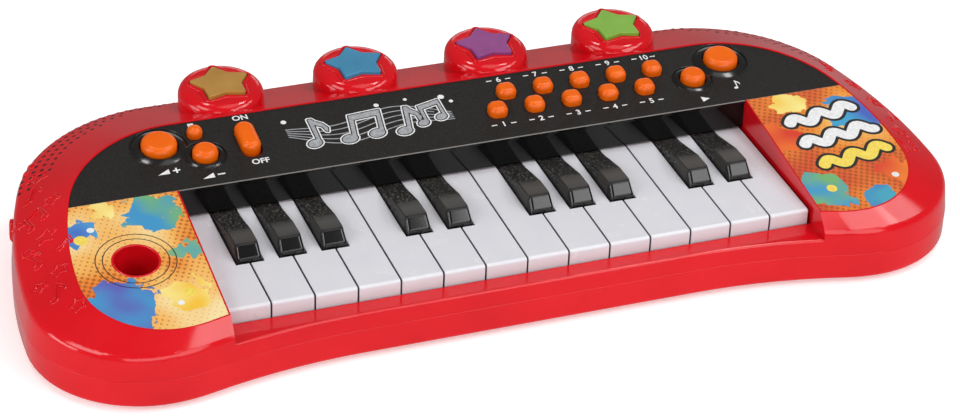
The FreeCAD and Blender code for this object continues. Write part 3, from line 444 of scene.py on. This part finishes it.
def startTree(name, sockets):
    # a geometry tree with named inputs; gives the tree, its input node and each input's identifier
    tree = bpy.data.node_groups.new(name, "GeometryNodeTree")
    tree.interface.new_socket("Geometry", in_out="INPUT", socket_type="NodeSocketGeometry")
    tree.interface.new_socket("Geometry", in_out="OUTPUT", socket_type="NodeSocketGeometry")
    keys = {label: tree.interface.new_socket(label, in_out="INPUT", socket_type="NodeSocket" + kind).identifier
            for label, kind in sockets.items()}
    return tree, addNode(tree, "NodeGroupInput"), keys


def runTree(tree, keys, lines, values, name):
    # lines are polylines of (x, y) in millimetres, fed to the tree as mesh edges
    mesh = bpy.data.meshes.new(name)
    points, edges = [], []
    for line in lines:
        start = len(points)
        points += [(x * mm, y * mm, 0.0) for x, y in line]
        edges += [(start + i, start + i + 1) for i in range(len(line) - 1)]
    mesh.from_pydata(points, edges, [])
    holder = addObject(name + "_lines", mesh)
    modifier = holder.modifiers.new("nodes", "NODES")
    modifier.node_group = tree
    for label, value in values.items():
        modifier[keys[label]] = value
    return keepMesh(holder, name)


def endTree(tree, geometry, material):
    plain = addNode(tree, "GeometryNodeRealizeInstances", {0: geometry})
    painted = addNode(tree, "GeometryNodeSetMaterial", {"Geometry": plain.outputs[0], "Material": material})
    addNode(tree, "NodeGroupOutput", {0: painted.outputs[0]})


dropRay = {"start": 0.2, "length": 0.5}       # metres: where the rays start over the points, and how far they look


def dropOnto(tree, geometry, shell):
    # sets points straight down on the shell, and gives the moved geometry and the normal under each point
    target = addNode(tree, "GeometryNodeObjectInfo", {"Object": shell})
    here = addNode(tree, "GeometryNodeInputPosition")
    above = addNode(tree, "ShaderNodeVectorMath", {0: here.outputs[0], 1: (0, 0, dropRay["start"])}, operation="ADD")
    hit = addNode(tree, "GeometryNodeRaycast", {"Target Geometry": target.outputs["Geometry"],
                                                "Source Position": above.outputs[0], "Ray Direction": (0, 0, -1),
                                                "Ray Length": dropRay["length"]})
    miss = addNode(tree, "FunctionNodeBooleanMath", {0: hit.outputs["Is Hit"]}, operation="NOT")
    found = addNode(tree, "GeometryNodeDeleteGeometry", {"Geometry": geometry, "Selection": miss.outputs[0]})
    moved = addNode(tree, "GeometryNodeSetPosition", {"Geometry": found.outputs[0],
                                                      "Position": hit.outputs["Hit Position"]})
    return moved.outputs[0], hit.outputs["Hit Normal"]


# speaker perforations in the back corners of the rim: rows that follow the corner's curve, each as
# (radius, first angle, last angle, straight run after it)
perforation = {"corner": (126.76, 16.3), "radius": 0.95, "pitch": 4.3, "depth": 0.5, "sunk": 0.44, "sides": 14,
               "rows": [(60.0, 25, 66, 0), (64.0, 19, 78, 0), (68.0, 16, 90, 6), (72.0, 16, 90, 18)], "steps": 40}


def perforationTree():
    tree, given, keys = startTree("perforations", {"Shell": "Object", "Radius": "Float", "Pitch": "Float",
                                                   "Depth": "Float", "Material": "Material"})
    rows = addNode(tree, "GeometryNodeMeshToCurve", {"Mesh": given.outputs["Geometry"]})
    spots = addNode(tree, "GeometryNodeCurveToPoints", {"Curve": rows.outputs[0], "Length": given.outputs["Pitch"]},
                    mode="LENGTH")
    seated, normal = dropOnto(tree, spots.outputs["Points"], given.outputs["Shell"])
    held = addNode(tree, "GeometryNodeStoreNamedAttribute", {"Geometry": seated, "Name": "lean", "Value": normal},
                   data_type="FLOAT_VECTOR")
    lean = addNode(tree, "GeometryNodeInputNamedAttribute", {"Name": "lean"}, data_type="FLOAT_VECTOR")
    turn = addNode(tree, "FunctionNodeAlignRotationToVector", {"Vector": lean.outputs[0]}, axis="Z")
    # each hole is a dark plug on the rim: its colour is painted shade for the hole's inside
    plug = addNode(tree, "GeometryNodeMeshCylinder", {"Vertices": perforation["sides"],
                                                      "Radius": given.outputs["Radius"],
                                                      "Depth": given.outputs["Depth"]})
    sunk = addNode(tree, "ShaderNodeMath", {0: given.outputs["Depth"], 1: -perforation["sunk"]}, operation="MULTIPLY")
    down = addNode(tree, "ShaderNodeCombineXYZ", {2: sunk.outputs[0]})
    seat = addNode(tree, "GeometryNodeTransform", {"Geometry": plug.outputs[0], "Translation": down.outputs[0]})
    placed = addNode(tree, "GeometryNodeInstanceOnPoints", {"Points": held.outputs[0], "Instance": seat.outputs[0],
                                                            "Rotation": turn.outputs[0]})
    endTree(tree, placed.outputs[0], given.outputs["Material"])
    return tree, keys


def cornerRows(side):
    cx, cy = perforation["corner"]
    lines = []
    for radius, first, last, tail in perforation["rows"]:
        steps = perforation["steps"]
        angles = [math.radians(first + (last - first) * i / steps) for i in range(steps + 1)]
        row = [(side * (cx + radius * math.cos(a)), cy + radius * math.sin(a)) for a in angles]
        lines.append(row + [(side * (cx - tail), cy + radius)] if tail else row)
    return lines


holeTree, holeKeys = perforationTree()
runTree(holeTree, holeKeys, cornerRows(-1) + cornerRows(1),
        {"Shell": nodes["upper_shell"], "Radius": perforation["radius"] * mm, "Pitch": perforation["pitch"] * mm,
         "Depth": perforation["depth"] * mm, "Material": plainMaterial("painted_hole_shade")}, "speaker_perforations")
print("perforations cut into the look of both back corners")


# plain stars and notes, drawn about as tall as their size: a star's notch, and a note head's half lengths and lean
motif = {"points": 5, "notch": 0.5, "head": (0.2, 0.145), "lean": (0.94, 0.34), "from": 48, "to": 368, "steps": 14}


def starLine(size):
    line = []
    for i in range(2 * motif["points"] + 1):
        reach = size * (motif["notch"] if i % 2 else 1)
        a = math.pi * i / motif["points"]
        line.append((reach * math.sin(a), reach * math.cos(a)))
    return line


def headLine(x, y, size):
    # an oval note head, from where its stem leaves it round to the same side
    line = []
    c, s = motif["lean"]
    for i in range(motif["steps"] + 1):
        a = math.radians(motif["from"] + (motif["to"] - motif["from"]) * i / motif["steps"])
        px, py = motif["head"][0] * size * math.cos(a), motif["head"][1] * size * math.sin(a)
        line.append((x + c * px - s * py, y + s * px + c * py))
    return line


def quaverLine(size):
    # one closed outline of a single note with a flag
    body = [(0.24, 0.72), (0.42, 0.58), (0.46, 0.38), (0.5, 0.36), (0.55, 0.52), (0.46, 0.72), (0.3, 0.86),
            (0.24, 0.97), (0.15, 0.97)]
    return headLine(0, 0, size) + [(x * size, y * size) for x, y in body]


def pairLine(size):
    # one closed outline of two notes under a beam
    beam = [(0.24, 0.68), (0.84, 0.78)]
    over = [(0.94, 0.98), (0.15, 0.86)]
    second = (0.7, 0.1)
    return (headLine(0, 0, size) + [(x * size, y * size) for x, y in beam]
            + headLine(second[0] * size, second[1] * size, size) + [(x * size, y * size) for x, y in over])


# motifs moulded into the rim as fine raised lines, each as (kind, across, back, size, turn)
relief = {"line": 0.45, "step": 0.6, "sides": 8, "marks": [
    ("star", -187, 40, 5.4, 10), ("quaver", -195, 25, 10.5, -20), ("star", -186.5, 15, 4.2, 30),
    ("pair", -198, 4, 10.0, 15), ("star", -194, -7, 4.8, -15), ("quaver", -201, -22, 10.5, 25),
    ("star", -194, -32, 4.0, 0), ("quaver", -200, -47, 9.5, -10), ("star", -201.5, 12, 3.2, 12),
    ("star", -203, -10, 3.0, 40), ("quaver", -191, -20, 7.5, -35), ("star", -203, -35, 3.2, 22),
    ("pair", -190, 50, 7.5, 35), ("star", -192, -56, 3.6, 8), ("star", 199, -2, 4.4, 20),
    ("quaver", 199, -18, 10.0, -15), ("star", 198.5, -30, 4.8, 5), ("pair", 193, -47, 9.5, 20),
    ("star", 196, 14, 4.4, -20), ("quaver", 189, 26, 10.0, 10)]}
motifs = {"star": starLine, "quaver": quaverLine, "pair": pairLine}


def reliefTree():
    tree, given, keys = startTree("rim_relief", {"Shell": "Object", "Line Radius": "Float", "Step": "Float",
                                                 "Material": "Material"})
    lines = addNode(tree, "GeometryNodeMeshToCurve", {"Mesh": given.outputs["Geometry"]})
    fine = addNode(tree, "GeometryNodeResampleCurve", {"Curve": lines.outputs[0], "Length": given.outputs["Step"]},
                   mode="LENGTH")
    seated, _ = dropOnto(tree, fine.outputs[0], given.outputs["Shell"])
    bead = addNode(tree, "GeometryNodeCurvePrimitiveCircle", {"Resolution": relief["sides"],
                                                              "Radius": given.outputs["Line Radius"]})
    tube = addNode(tree, "GeometryNodeCurveToMesh", {"Curve": seated, "Profile Curve": bead.outputs[0],
                                                     "Fill Caps": True})
    soft = addNode(tree, "GeometryNodeSetShadeSmooth", {"Geometry": tube.outputs[0]})
    endTree(tree, soft.outputs[0], given.outputs["Material"])
    return tree, keys


def placedMotif(kind, x, y, size, turn):
    c, s = math.cos(math.radians(turn)), math.sin(math.radians(turn))
    line = motifs[kind](size)
    line = line + line[:1]
    return [(x + c * px - s * py, y + s * px + c * py) for px, py in line]


beadTree, beadKeys = reliefTree()


def raisedLines(name, lines, shell, look, material):
    # a fine bead along each line, laid on a node of the case
    values = {"Shell": nodes[shell], "Line Radius": look["line"] * mm, "Step": look["step"] * mm,
              "Material": material}
    return runTree(beadTree, beadKeys, lines, values, name)


rimRelief = raisedLines("rim_relief", [placedMotif(*mark) for mark in relief["marks"]], "upper_shell", relief, redAbs)
print("rim relief:", len(relief["marks"]), "motifs")


# a fine bead round each dish in the panel, which has (its hole's radius, its own radius)
bigDish, smallDish = (8.35, 12.9), (6.05, 9.5)
dishBead = {"line": 0.28, "step": 0.8, "sides": 72,
            "dishes": {"volume_up_button": bigDish, "volume_down_button": smallDish, "play_button": smallDish,
                       "demo_button": bigDish}}


def dishCircle(node):
    x, run = capPlace(node)
    _, radius = dishBead["dishes"][node]
    spots = [onPanel(x + radius * math.cos(a), run + radius * math.sin(a), 0) for a in ring(dishBead["sides"])]
    return [(p.x / mm, p.y / mm) for p in spots]


# the red lip that stands round the holder's mouth
holderBead = {"out": 0.5, "line": 0.6, "step": 0.8, "sides": 72}
holderMount = next(m for m in frame["record"]["mounts"] if m["name"] == "microphone_holder")


def holderCircle():
    x, y, _ = (c / mm for c in holderMount["pos_m"])
    radius = holderMount["dims"]["r_mm"] + holderBead["out"]
    return [(x + radius * math.cos(a), y + radius * math.sin(a)) for a in ring(holderBead["sides"])]


polishedBlack = plainMaterial("polished_black_abs")
holderLip = raisedLines("holder_lip", [holderCircle()], "upper_shell", holderBead, redAbs)
dishRims = raisedLines("dish_rims", [dishCircle(node) for node in dishBead["dishes"]], "control_panel", dishBead,
                       polishedBlack)

# a low polished collar round each round button, which slopes away to the dish's edge
buttonCollar = {"gap": 0.4, "roll": 0.25, "rollDrop": 0.3, "land": 0.9, "slope": 20.0, "short": 0.8, "clear": 0.12,
                "sunk": 0.9, "sides": 96, "smoothBelow": 30.0}


def collarProfile(look, hole, edge):
    # (distance from the middle, height over the panel) round one section of the collar
    inner = hole + look["gap"]
    crest, foot = inner + look["land"], edge - look["short"]
    top = (foot - crest) * math.tan(math.radians(look["slope"])) - look["clear"]
    roll, deep = look["roll"], -look["sunk"]
    return [(inner, deep), (foot, deep), (foot, -look["clear"]), (crest + roll, top - roll * look["rollDrop"]),
            (crest - roll, top), (inner + roll, top), (inner, top - roll)]


def buttonCollars():
    shape = bmesh.new()
    for node, (hole, edge) in dishBead["dishes"].items():
        x, run = capPlace(node)
        loops = [[shape.verts.new(onPanel(x + r * math.cos(a), run + r * math.sin(a), height))
                  for r, height in collarProfile(buttonCollar, hole, edge)] for a in ring(buttonCollar["sides"])[:-1]]
        for loop, after in zip(loops, loops[1:] + loops[:1]):
            for k in range(len(loop)):
                n = (k + 1) % len(loop)
                shape.faces.new((loop[k], after[k], after[n], loop[n])).smooth = True
    bmesh.ops.recalc_face_normals(shape, faces=shape.faces)
    mesh = bpy.data.meshes.new("button_collars")
    shape.to_mesh(mesh)
    shape.free()
    mesh.set_sharp_from_angle(angle=math.radians(buttonCollar["smoothBelow"]))
    mesh.materials.append(polishedBlack)
    collars = addObject("button_collars", mesh)
    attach(collars, "case")


buttonCollars()
print("dish rims and collars:", len(dishBead["dishes"]))


# screen prints: thin closed films that stand a few hundredths of a millimetre proud of the panel or the labels
inkFilms = {ink: bmesh.new() for ink in ("white_ink", "silver_ink", "black_ink", "yellow_ink")}
inkLook = {"base": 0.02, "step": 0.015, "sunk": 0.05, "label": 0.25, "merge": 0.001, "bold": 0.022}


def printArea(ink, outlines, layer=0, ground=0.0):
    # outlines are closed polygons of (across, run) in millimetres, which may overlap; one film covers them all
    points, loops = [], []
    for outline in outlines:
        area = sum(a[0] * b[1] - b[0] * a[1] for a, b in zip(outline, outline[1:] + outline[:1]))
        loops.append(list(range(len(points), len(points) + len(outline))))
        points += [Vector(p) for p in (outline if area > 0 else outline[::-1])]
    insideOnly = 1
    points, _, areas, *_, sources = delaunay_2d_cdt(points, [], loops, insideOnly, inkLook["merge"])
    triangles = [area for area, source in zip(areas, sources) if source]
    film = inkFilms[ink]
    top, low = {}, {}
    for i in sorted({i for triangle in triangles for i in triangle}):
        top[i] = film.verts.new(onPanel(*points[i], ground + inkLook["base"] + inkLook["step"] * layer))
        low[i] = film.verts.new(onPanel(*points[i], ground - inkLook["sunk"]))
    sides = {(a, b) for triangle in triangles for a, b in zip(triangle, triangle[1:] + triangle[:1])}
    for triangle in triangles:
        film.faces.new([top[i] for i in triangle])
        film.faces.new([low[i] for i in reversed(triangle)])
    for a, b in sorted(sides):
        if (b, a) not in sides:
            film.faces.new((low[a], low[b], top[b], top[a]))


def printText(ink, words, x, run, size):
    curve = bpy.data.curves.new("print", "FONT")
    curve.body = words
    curve.size = size * mm
    curve.align_x = "CENTER"
    curve.align_y = "CENTER"
    curve.offset = inkLook["bold"] * size * mm
    curve.extrude = (inkLook["base"] + inkLook["sunk"]) / 2 * mm
    holder = addObject("print", curve)
    mesh = plainMesh(holder)
    seat = Matrix((Vector((1, 0, 0)), upSlope, panelNormal)).transposed().to_4x4()
    seat.translation = onPanel(x, run, (inkLook["base"] - inkLook["sunk"]) / 2)
    mesh.transform(seat)
    inkFilms[ink].from_mesh(mesh)
    bpy.data.objects.remove(holder)
    bpy.data.curves.remove(curve)
    bpy.data.meshes.remove(mesh)


def bar(x, run, width, height):
    corners = ((-1, -1), (1, -1), (1, 1), (-1, 1))
    return [(x + i * width / 2, run + j * height / 2) for i, j in corners]


discSides = {"small": 12, "large": 28, "smallBelow": 1.0}


def disc(x, run, radius):
    sides = discSides["small" if radius < discSides["smallBelow"] else "large"]
    return [(x + radius * math.cos(a), run + radius * math.sin(a)) for a in ring(sides)[:-1]]


def band(points, width, closed=False):
    # a line of even width with round joints and ends, as overlapping pieces
    pieces = [disc(x, run, width / 2) for x, run in points]
    for a, b in zip(points, points[1:] + points[:1] if closed else points[1:]):
        length = math.dist(a, b)
        ax, ar = (a[1] - b[1]) / length * width / 2, (b[0] - a[0]) / length * width / 2
        pieces.append([(a[0] - ax, a[1] - ar), (b[0] - ax, b[1] - ar), (b[0] + ax, b[1] + ar),
                       (a[0] + ax, a[1] + ar)])
    return pieces


# marks beside the buttons, measured from the middle of each one's top: numbers between short rules, ON and OFF, plus
# and minus, and plain signs
markLook = {"letters": 4.6, "rows": [("tone_button_", -9.0, 0), ("rhythm_button_", 10.2, 5)], "inRow": 5,
            "rule": (2.6, 0.6), "ruleOut": 4.6, "words": [("ON", 1.1, 15.5), ("OFF", 1.6, -15.7)],
            "volume": [("volume_up_button", -16.9, True), ("volume_down_button", -14.0, False)],
            "wedge": [(-5.2, -1.6), (0.2, -1.6), (0.2, 1.6)], "sign": (3.4, 0.8), "signOut": 3.4, "stop": (6.7, 2.6),
            "play": [(-1.6, -17.0), (2.2, -15.1), (-1.6, -13.2)], "note": (-0.6, -20.5, 5.4)}


def shifted(outline, x, run):
    return [(x + px, run + py) for px, py in outline]


def buttonMarks(look):
    for i in range(1, look["inRow"] + 1):
        for row, shift, before in look["rows"]:
            x, run = capPlace(row + str(i))
            printText("white_ink", str(before + i), x, run + shift, look["letters"])
            for side in (-1, 1):
                printArea("white_ink", [bar(x + side * look["ruleOut"], run + shift, *look["rule"])])
    x, run = capPlace("power_slider")
    for word, out, shift in look["words"]:
        printText("white_ink", word, x + out, run + shift, look["letters"])
    length, width = look["sign"]
    for node, shift, plus in look["volume"]:
        x, run = capPlace(node)
        printArea("white_ink", [shifted(look["wedge"], x, run + shift)])
        level = bar(x + look["signOut"], run + shift, length, width)
        upright = bar(x + look["signOut"], run + shift, width, length)
        printArea("white_ink", [level, upright] if plus else [level])
    x, run = capPlace("stop_button")
    shift, side = look["stop"]
    printArea("white_ink", [bar(x, run + shift, side, side)])
    printArea("white_ink", [shifted(look["play"], *capPlace("play_button"))])
    x, run = capPlace("demo_button")
    out, shift, size = look["note"]
    printArea("white_ink", [shifted(quaverLine(size), x + out, run + shift)])


buttonMarks(markLook)
print("button marks printed")

# ornament in the open middle of the panel: a waving staff with notes, in silver with white and black edges
ornament = {"centre": (-39.0, 24.0), "half": 38.0, "steps": 40, "wave": 3.2, "wavePitch": 60.0, "gap": 3.7,
            "pinch": 0.35, "line": 0.55,
            "notes": [("quaver", -28.0, -7.0, 17.0, 4), ("pair", -12.0, -7.5, 18.5, -4),
                      ("quaver", 13.5, -8.0, 17.5, -6), ("pair", 23.5, -4.5, 13.5, 6)],
            "dots": [(37.0, 11.5, 1.5), (40.5, 7.5, 1.0), (-37.5, 10.5, 1.3), (6.5, 12.5, 1.2), (20.5, 13.5, 0.9)],
            "edge": 2.3, "inner": 1.1}


def staffLine(look, level):
    # the staff's lines draw together towards both ends
    points = []
    for i in range(look["steps"] + 1):
        u = -look["half"] + 2 * look["half"] * i / look["steps"]
        spread = look["pinch"] + (1 - look["pinch"]) * math.cos(0.5 * math.pi * u / look["half"])
        v = look["wave"] * math.sin(2 * math.pi * u / look["wavePitch"]) + level * look["gap"] * spread
        points.append((look["centre"][0] + u, look["centre"][1] + v))
    return points


def panelOrnament(look):
    for level in range(-2, 3):
        printArea("silver_ink", band(staffLine(look, level), look["line"]))
    cx, cy = look["centre"]
    for kind, x, run, size, turn in look["notes"]:
        outline = placedMotif(kind, cx + x, cy + run, size, turn)[:-1]
        printArea("white_ink", [outline] + band(outline, look["edge"], True), 1)
        printArea("black_ink", [outline] + band(outline, look["inner"], True), 2)
        printArea("silver_ink", [outline], 3)
    for x, run, radius in look["dots"]:
        printArea("white_ink", [disc(cx + x, cy + run, radius)], 1)


panelOrnament(ornament)

# label prints: three waving bands at the high end, rings and spots round the holder at the low end
labelPrint = {"bands": [("white_ink", 147.0, -21.0, 33.0), ("white_ink", 147.5, -36.5, 36.0),
                        ("yellow_ink", 150.0, -52.0, 33.0)],
              "bandWidth": 5.6, "bandWave": 2.6, "bandPitch": 13.0, "bandRise": 0.16, "bandEdge": 1.5,
              "bandSteps": 36, "rings": [(14.0, 0.45), (17.0, 0.45)],
              "spots": [("yellow_ink", -182.0, -22.0, 3.0), ("white_ink", -176.5, -16.5, 1.6),
                        ("yellow_ink", -146.5, -64.0, 2.6), ("white_ink", -151.5, -69.5, 1.5),
                        ("white_ink", 178.5, -66.0, 1.7), ("yellow_ink", 146.0, -68.0, 2.4)]}


def labelPrints(look):
    ground = inkLook["label"]
    for ink, x, run, length in look["bands"]:
        line = []
        for i in range(look["bandSteps"] + 1):
            u = length * i / look["bandSteps"]
            wave = look["bandWave"] * math.sin(2 * math.pi * u / look["bandPitch"])
            line.append((x + u, run + wave + look["bandRise"] * u))
        printArea("black_ink", band(line, look["bandWidth"] + 2 * look["bandEdge"]), 0, ground)
        printArea(ink, band(line, look["bandWidth"]), 1, ground)
    at = Vector(holderMount["pos_m"]) - panelEdge
    cx, cr = at.x / mm, at.y / upSlope.y / mm
    for radius, width in look["rings"]:
        printArea("black_ink", band(disc(cx, cr, radius), width, True), 0, ground)
    for ink, x, run, radius in look["spots"]:
        printArea(ink, [disc(x, run, radius)], 0, ground)


labelPrints(labelPrint)
for ink, film in inkFilms.items():
    mesh = bpy.data.meshes.new(ink)
    film.to_mesh(mesh)
    film.free()
    mesh.materials.append(plainMaterial(ink))
    sheet = addObject("print_" + ink, mesh)
    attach(sheet, "case")
print("panel and label prints made")

# floor, lights and camera, in metres and watts
stageLook = {"floor": "#f4f4f4", "floorRoughness": 0.9, "floorSpecular": 0.1, "floorGlow": 0.35, "floorHalf": 4.0,
             "room": 0.16, "seenRoom": 0.95, "mirroredNear": -0.1, "mirroredFar": 0.3, "mirrored": (0.45, 0.2)}


def paperFloor(look):
    # white where the camera sees it; its mirror image in the glossy case fades towards the back, as paper out of the
    # light does
    mesh = bpy.data.meshes.new("paper_floor")
    h = look["floorHalf"]
    mesh.from_pydata([(-h, -h, 0), (h, -h, 0), (h, h, 0), (-h, h, 0)], [], [(0, 1, 2, 3)])
    material, tree, shader, place = startMaterial(
        "studio_paper", Base_Color=linear(look["floor"]), Roughness=look["floorRoughness"],
        Specular_IOR_Level=look["floorSpecular"], Emission_Color=(1, 1, 1, 1),
        Emission_Strength=look["floorGlow"])
    away = addNode(tree, "ShaderNodeSeparateXYZ", {0: place})
    near, far = look["mirrored"]
    fade = addNode(tree, "ShaderNodeMapRange", {0: away.outputs[1], 1: look["mirroredNear"] / mm,
                                                2: look["mirroredFar"] / mm, 3: near, 4: far})
    dim = addNode(tree, "ShaderNodeEmission", {"Strength": fade.outputs[0]})
    path = addNode(tree, "ShaderNodeLightPath")
    either = addNode(tree, "ShaderNodeMixShader", {0: path.outputs["Is Glossy Ray"], 1: shader.outputs[0],
                                                   2: dim.outputs[0]})
    output = next(n for n in tree.nodes if n.type == "OUTPUT_MATERIAL")
    tree.links.new(either.outputs[0], output.inputs["Surface"])
    mesh.materials.append(material)
    floor = addObject("paper_floor", mesh)


# each as (place, aim, size, power)
softboxes = {
    "right": ((0.746, -0.889, 1.1), (0.0, -0.03, 0.0), (1.05, 0.42), 5.8),
    "farRight": ((1.115, -0.32, 1.0), (0.15, -0.03, 0.0), (0.75, 0.26), 2.4),
    "left": ((-1.217, -0.395, 0.965), (-0.1, -0.05, 0.0), (0.8, 0.55), 6.0),
    "front": ((-0.1, -1.9, 0.7), (0.0, 0.0, 0.0), (2.4, 0.8), 14.6),
    "overhead": ((0.3, -0.25, 1.75), (0.0, 0.0, 0.0), (1.3, 0.9), 4.9),
    "highRight": ((0.75, 0.13, 1.63), (0.0, 0.0, 0.0), (0.4, 0.26), 4.2),
    "highLeft": ((-0.5, 0.37, 1.68), (0.0, 0.0, 0.0), (0.4, 0.26), 4.2),
    "side": ((-1.5, -0.05, 0.25), (0.0, 0.0, 0.05), (0.7, 0.4), 4.2),
    "backdrop": ((0.86, 2.13, 0.6), (0.0, 0.0, 0.05), (1.6, 0.8), 4.6)}


def studioLight():
    for name, (place, aim, size, power) in softboxes.items():
        light = bpy.data.lights.new("softbox_" + name, "AREA")
        light.shape = "RECTANGLE"
        light.size, light.size_y = size
        light.energy = power
        lamp = addObject("softbox_" + name, light)
        lamp.location = place
        lamp.rotation_euler = (Vector(aim) - Vector(place)).to_track_quat("-Z", "Y").to_euler()
    world = bpy.data.worlds.new("studio_room")
    world.use_nodes = True
    tree = world.node_tree
    tree.nodes.clear()
    path = addNode(tree, "ShaderNodeLightPath")
    seen = addNode(tree, "ShaderNodeMapRange", {0: path.outputs["Is Camera Ray"], 3: stageLook["room"],
                                                4: stageLook["seenRoom"]})
    room = addNode(tree, "ShaderNodeBackground", {"Color": (1, 1, 1, 1), "Strength": seen.outputs[0]})
    addNode(tree, "ShaderNodeOutputWorld", {"Surface": room.outputs[0]})
    bpy.context.scene.world = world
    bpy.context.scene.view_settings.view_transform = "Standard"


shot = {"azimuth": -21.57, "elevation": 32.47, "roll": 2.5, "distance": 1.24925, "target": (-0.0061, -0.0273, 0.0294),
        "lens": 107.0, "sensor": 36.0, "clip": (0.01, 50.0)}


def photoCamera():
    a, e, r = (math.radians(shot[key]) for key in ("azimuth", "elevation", "roll"))
    back = Vector((math.sin(a) * math.cos(e), -math.cos(a) * math.cos(e), math.sin(e)))
    level = Vector((math.cos(a), math.sin(a), 0))
    up = back.cross(level)
    right = level * math.cos(r) + up * math.sin(r)
    top = up * math.cos(r) - level * math.sin(r)
    data = bpy.data.cameras.new("photo_camera")
    data.lens = shot["lens"]
    data.sensor_width = shot["sensor"]
    data.clip_start, data.clip_end = shot["clip"]
    camera = addObject("photo_camera", data)
    turn = Matrix((right, top, back)).transposed().to_4x4()
    turn.translation = Vector(shot["target"]) + back * shot["distance"]
    camera.matrix_world = turn
    bpy.context.scene.camera = camera


paperFloor(stageLook)
studioLight()
photoCamera()
print("stage, lights and camera ready")
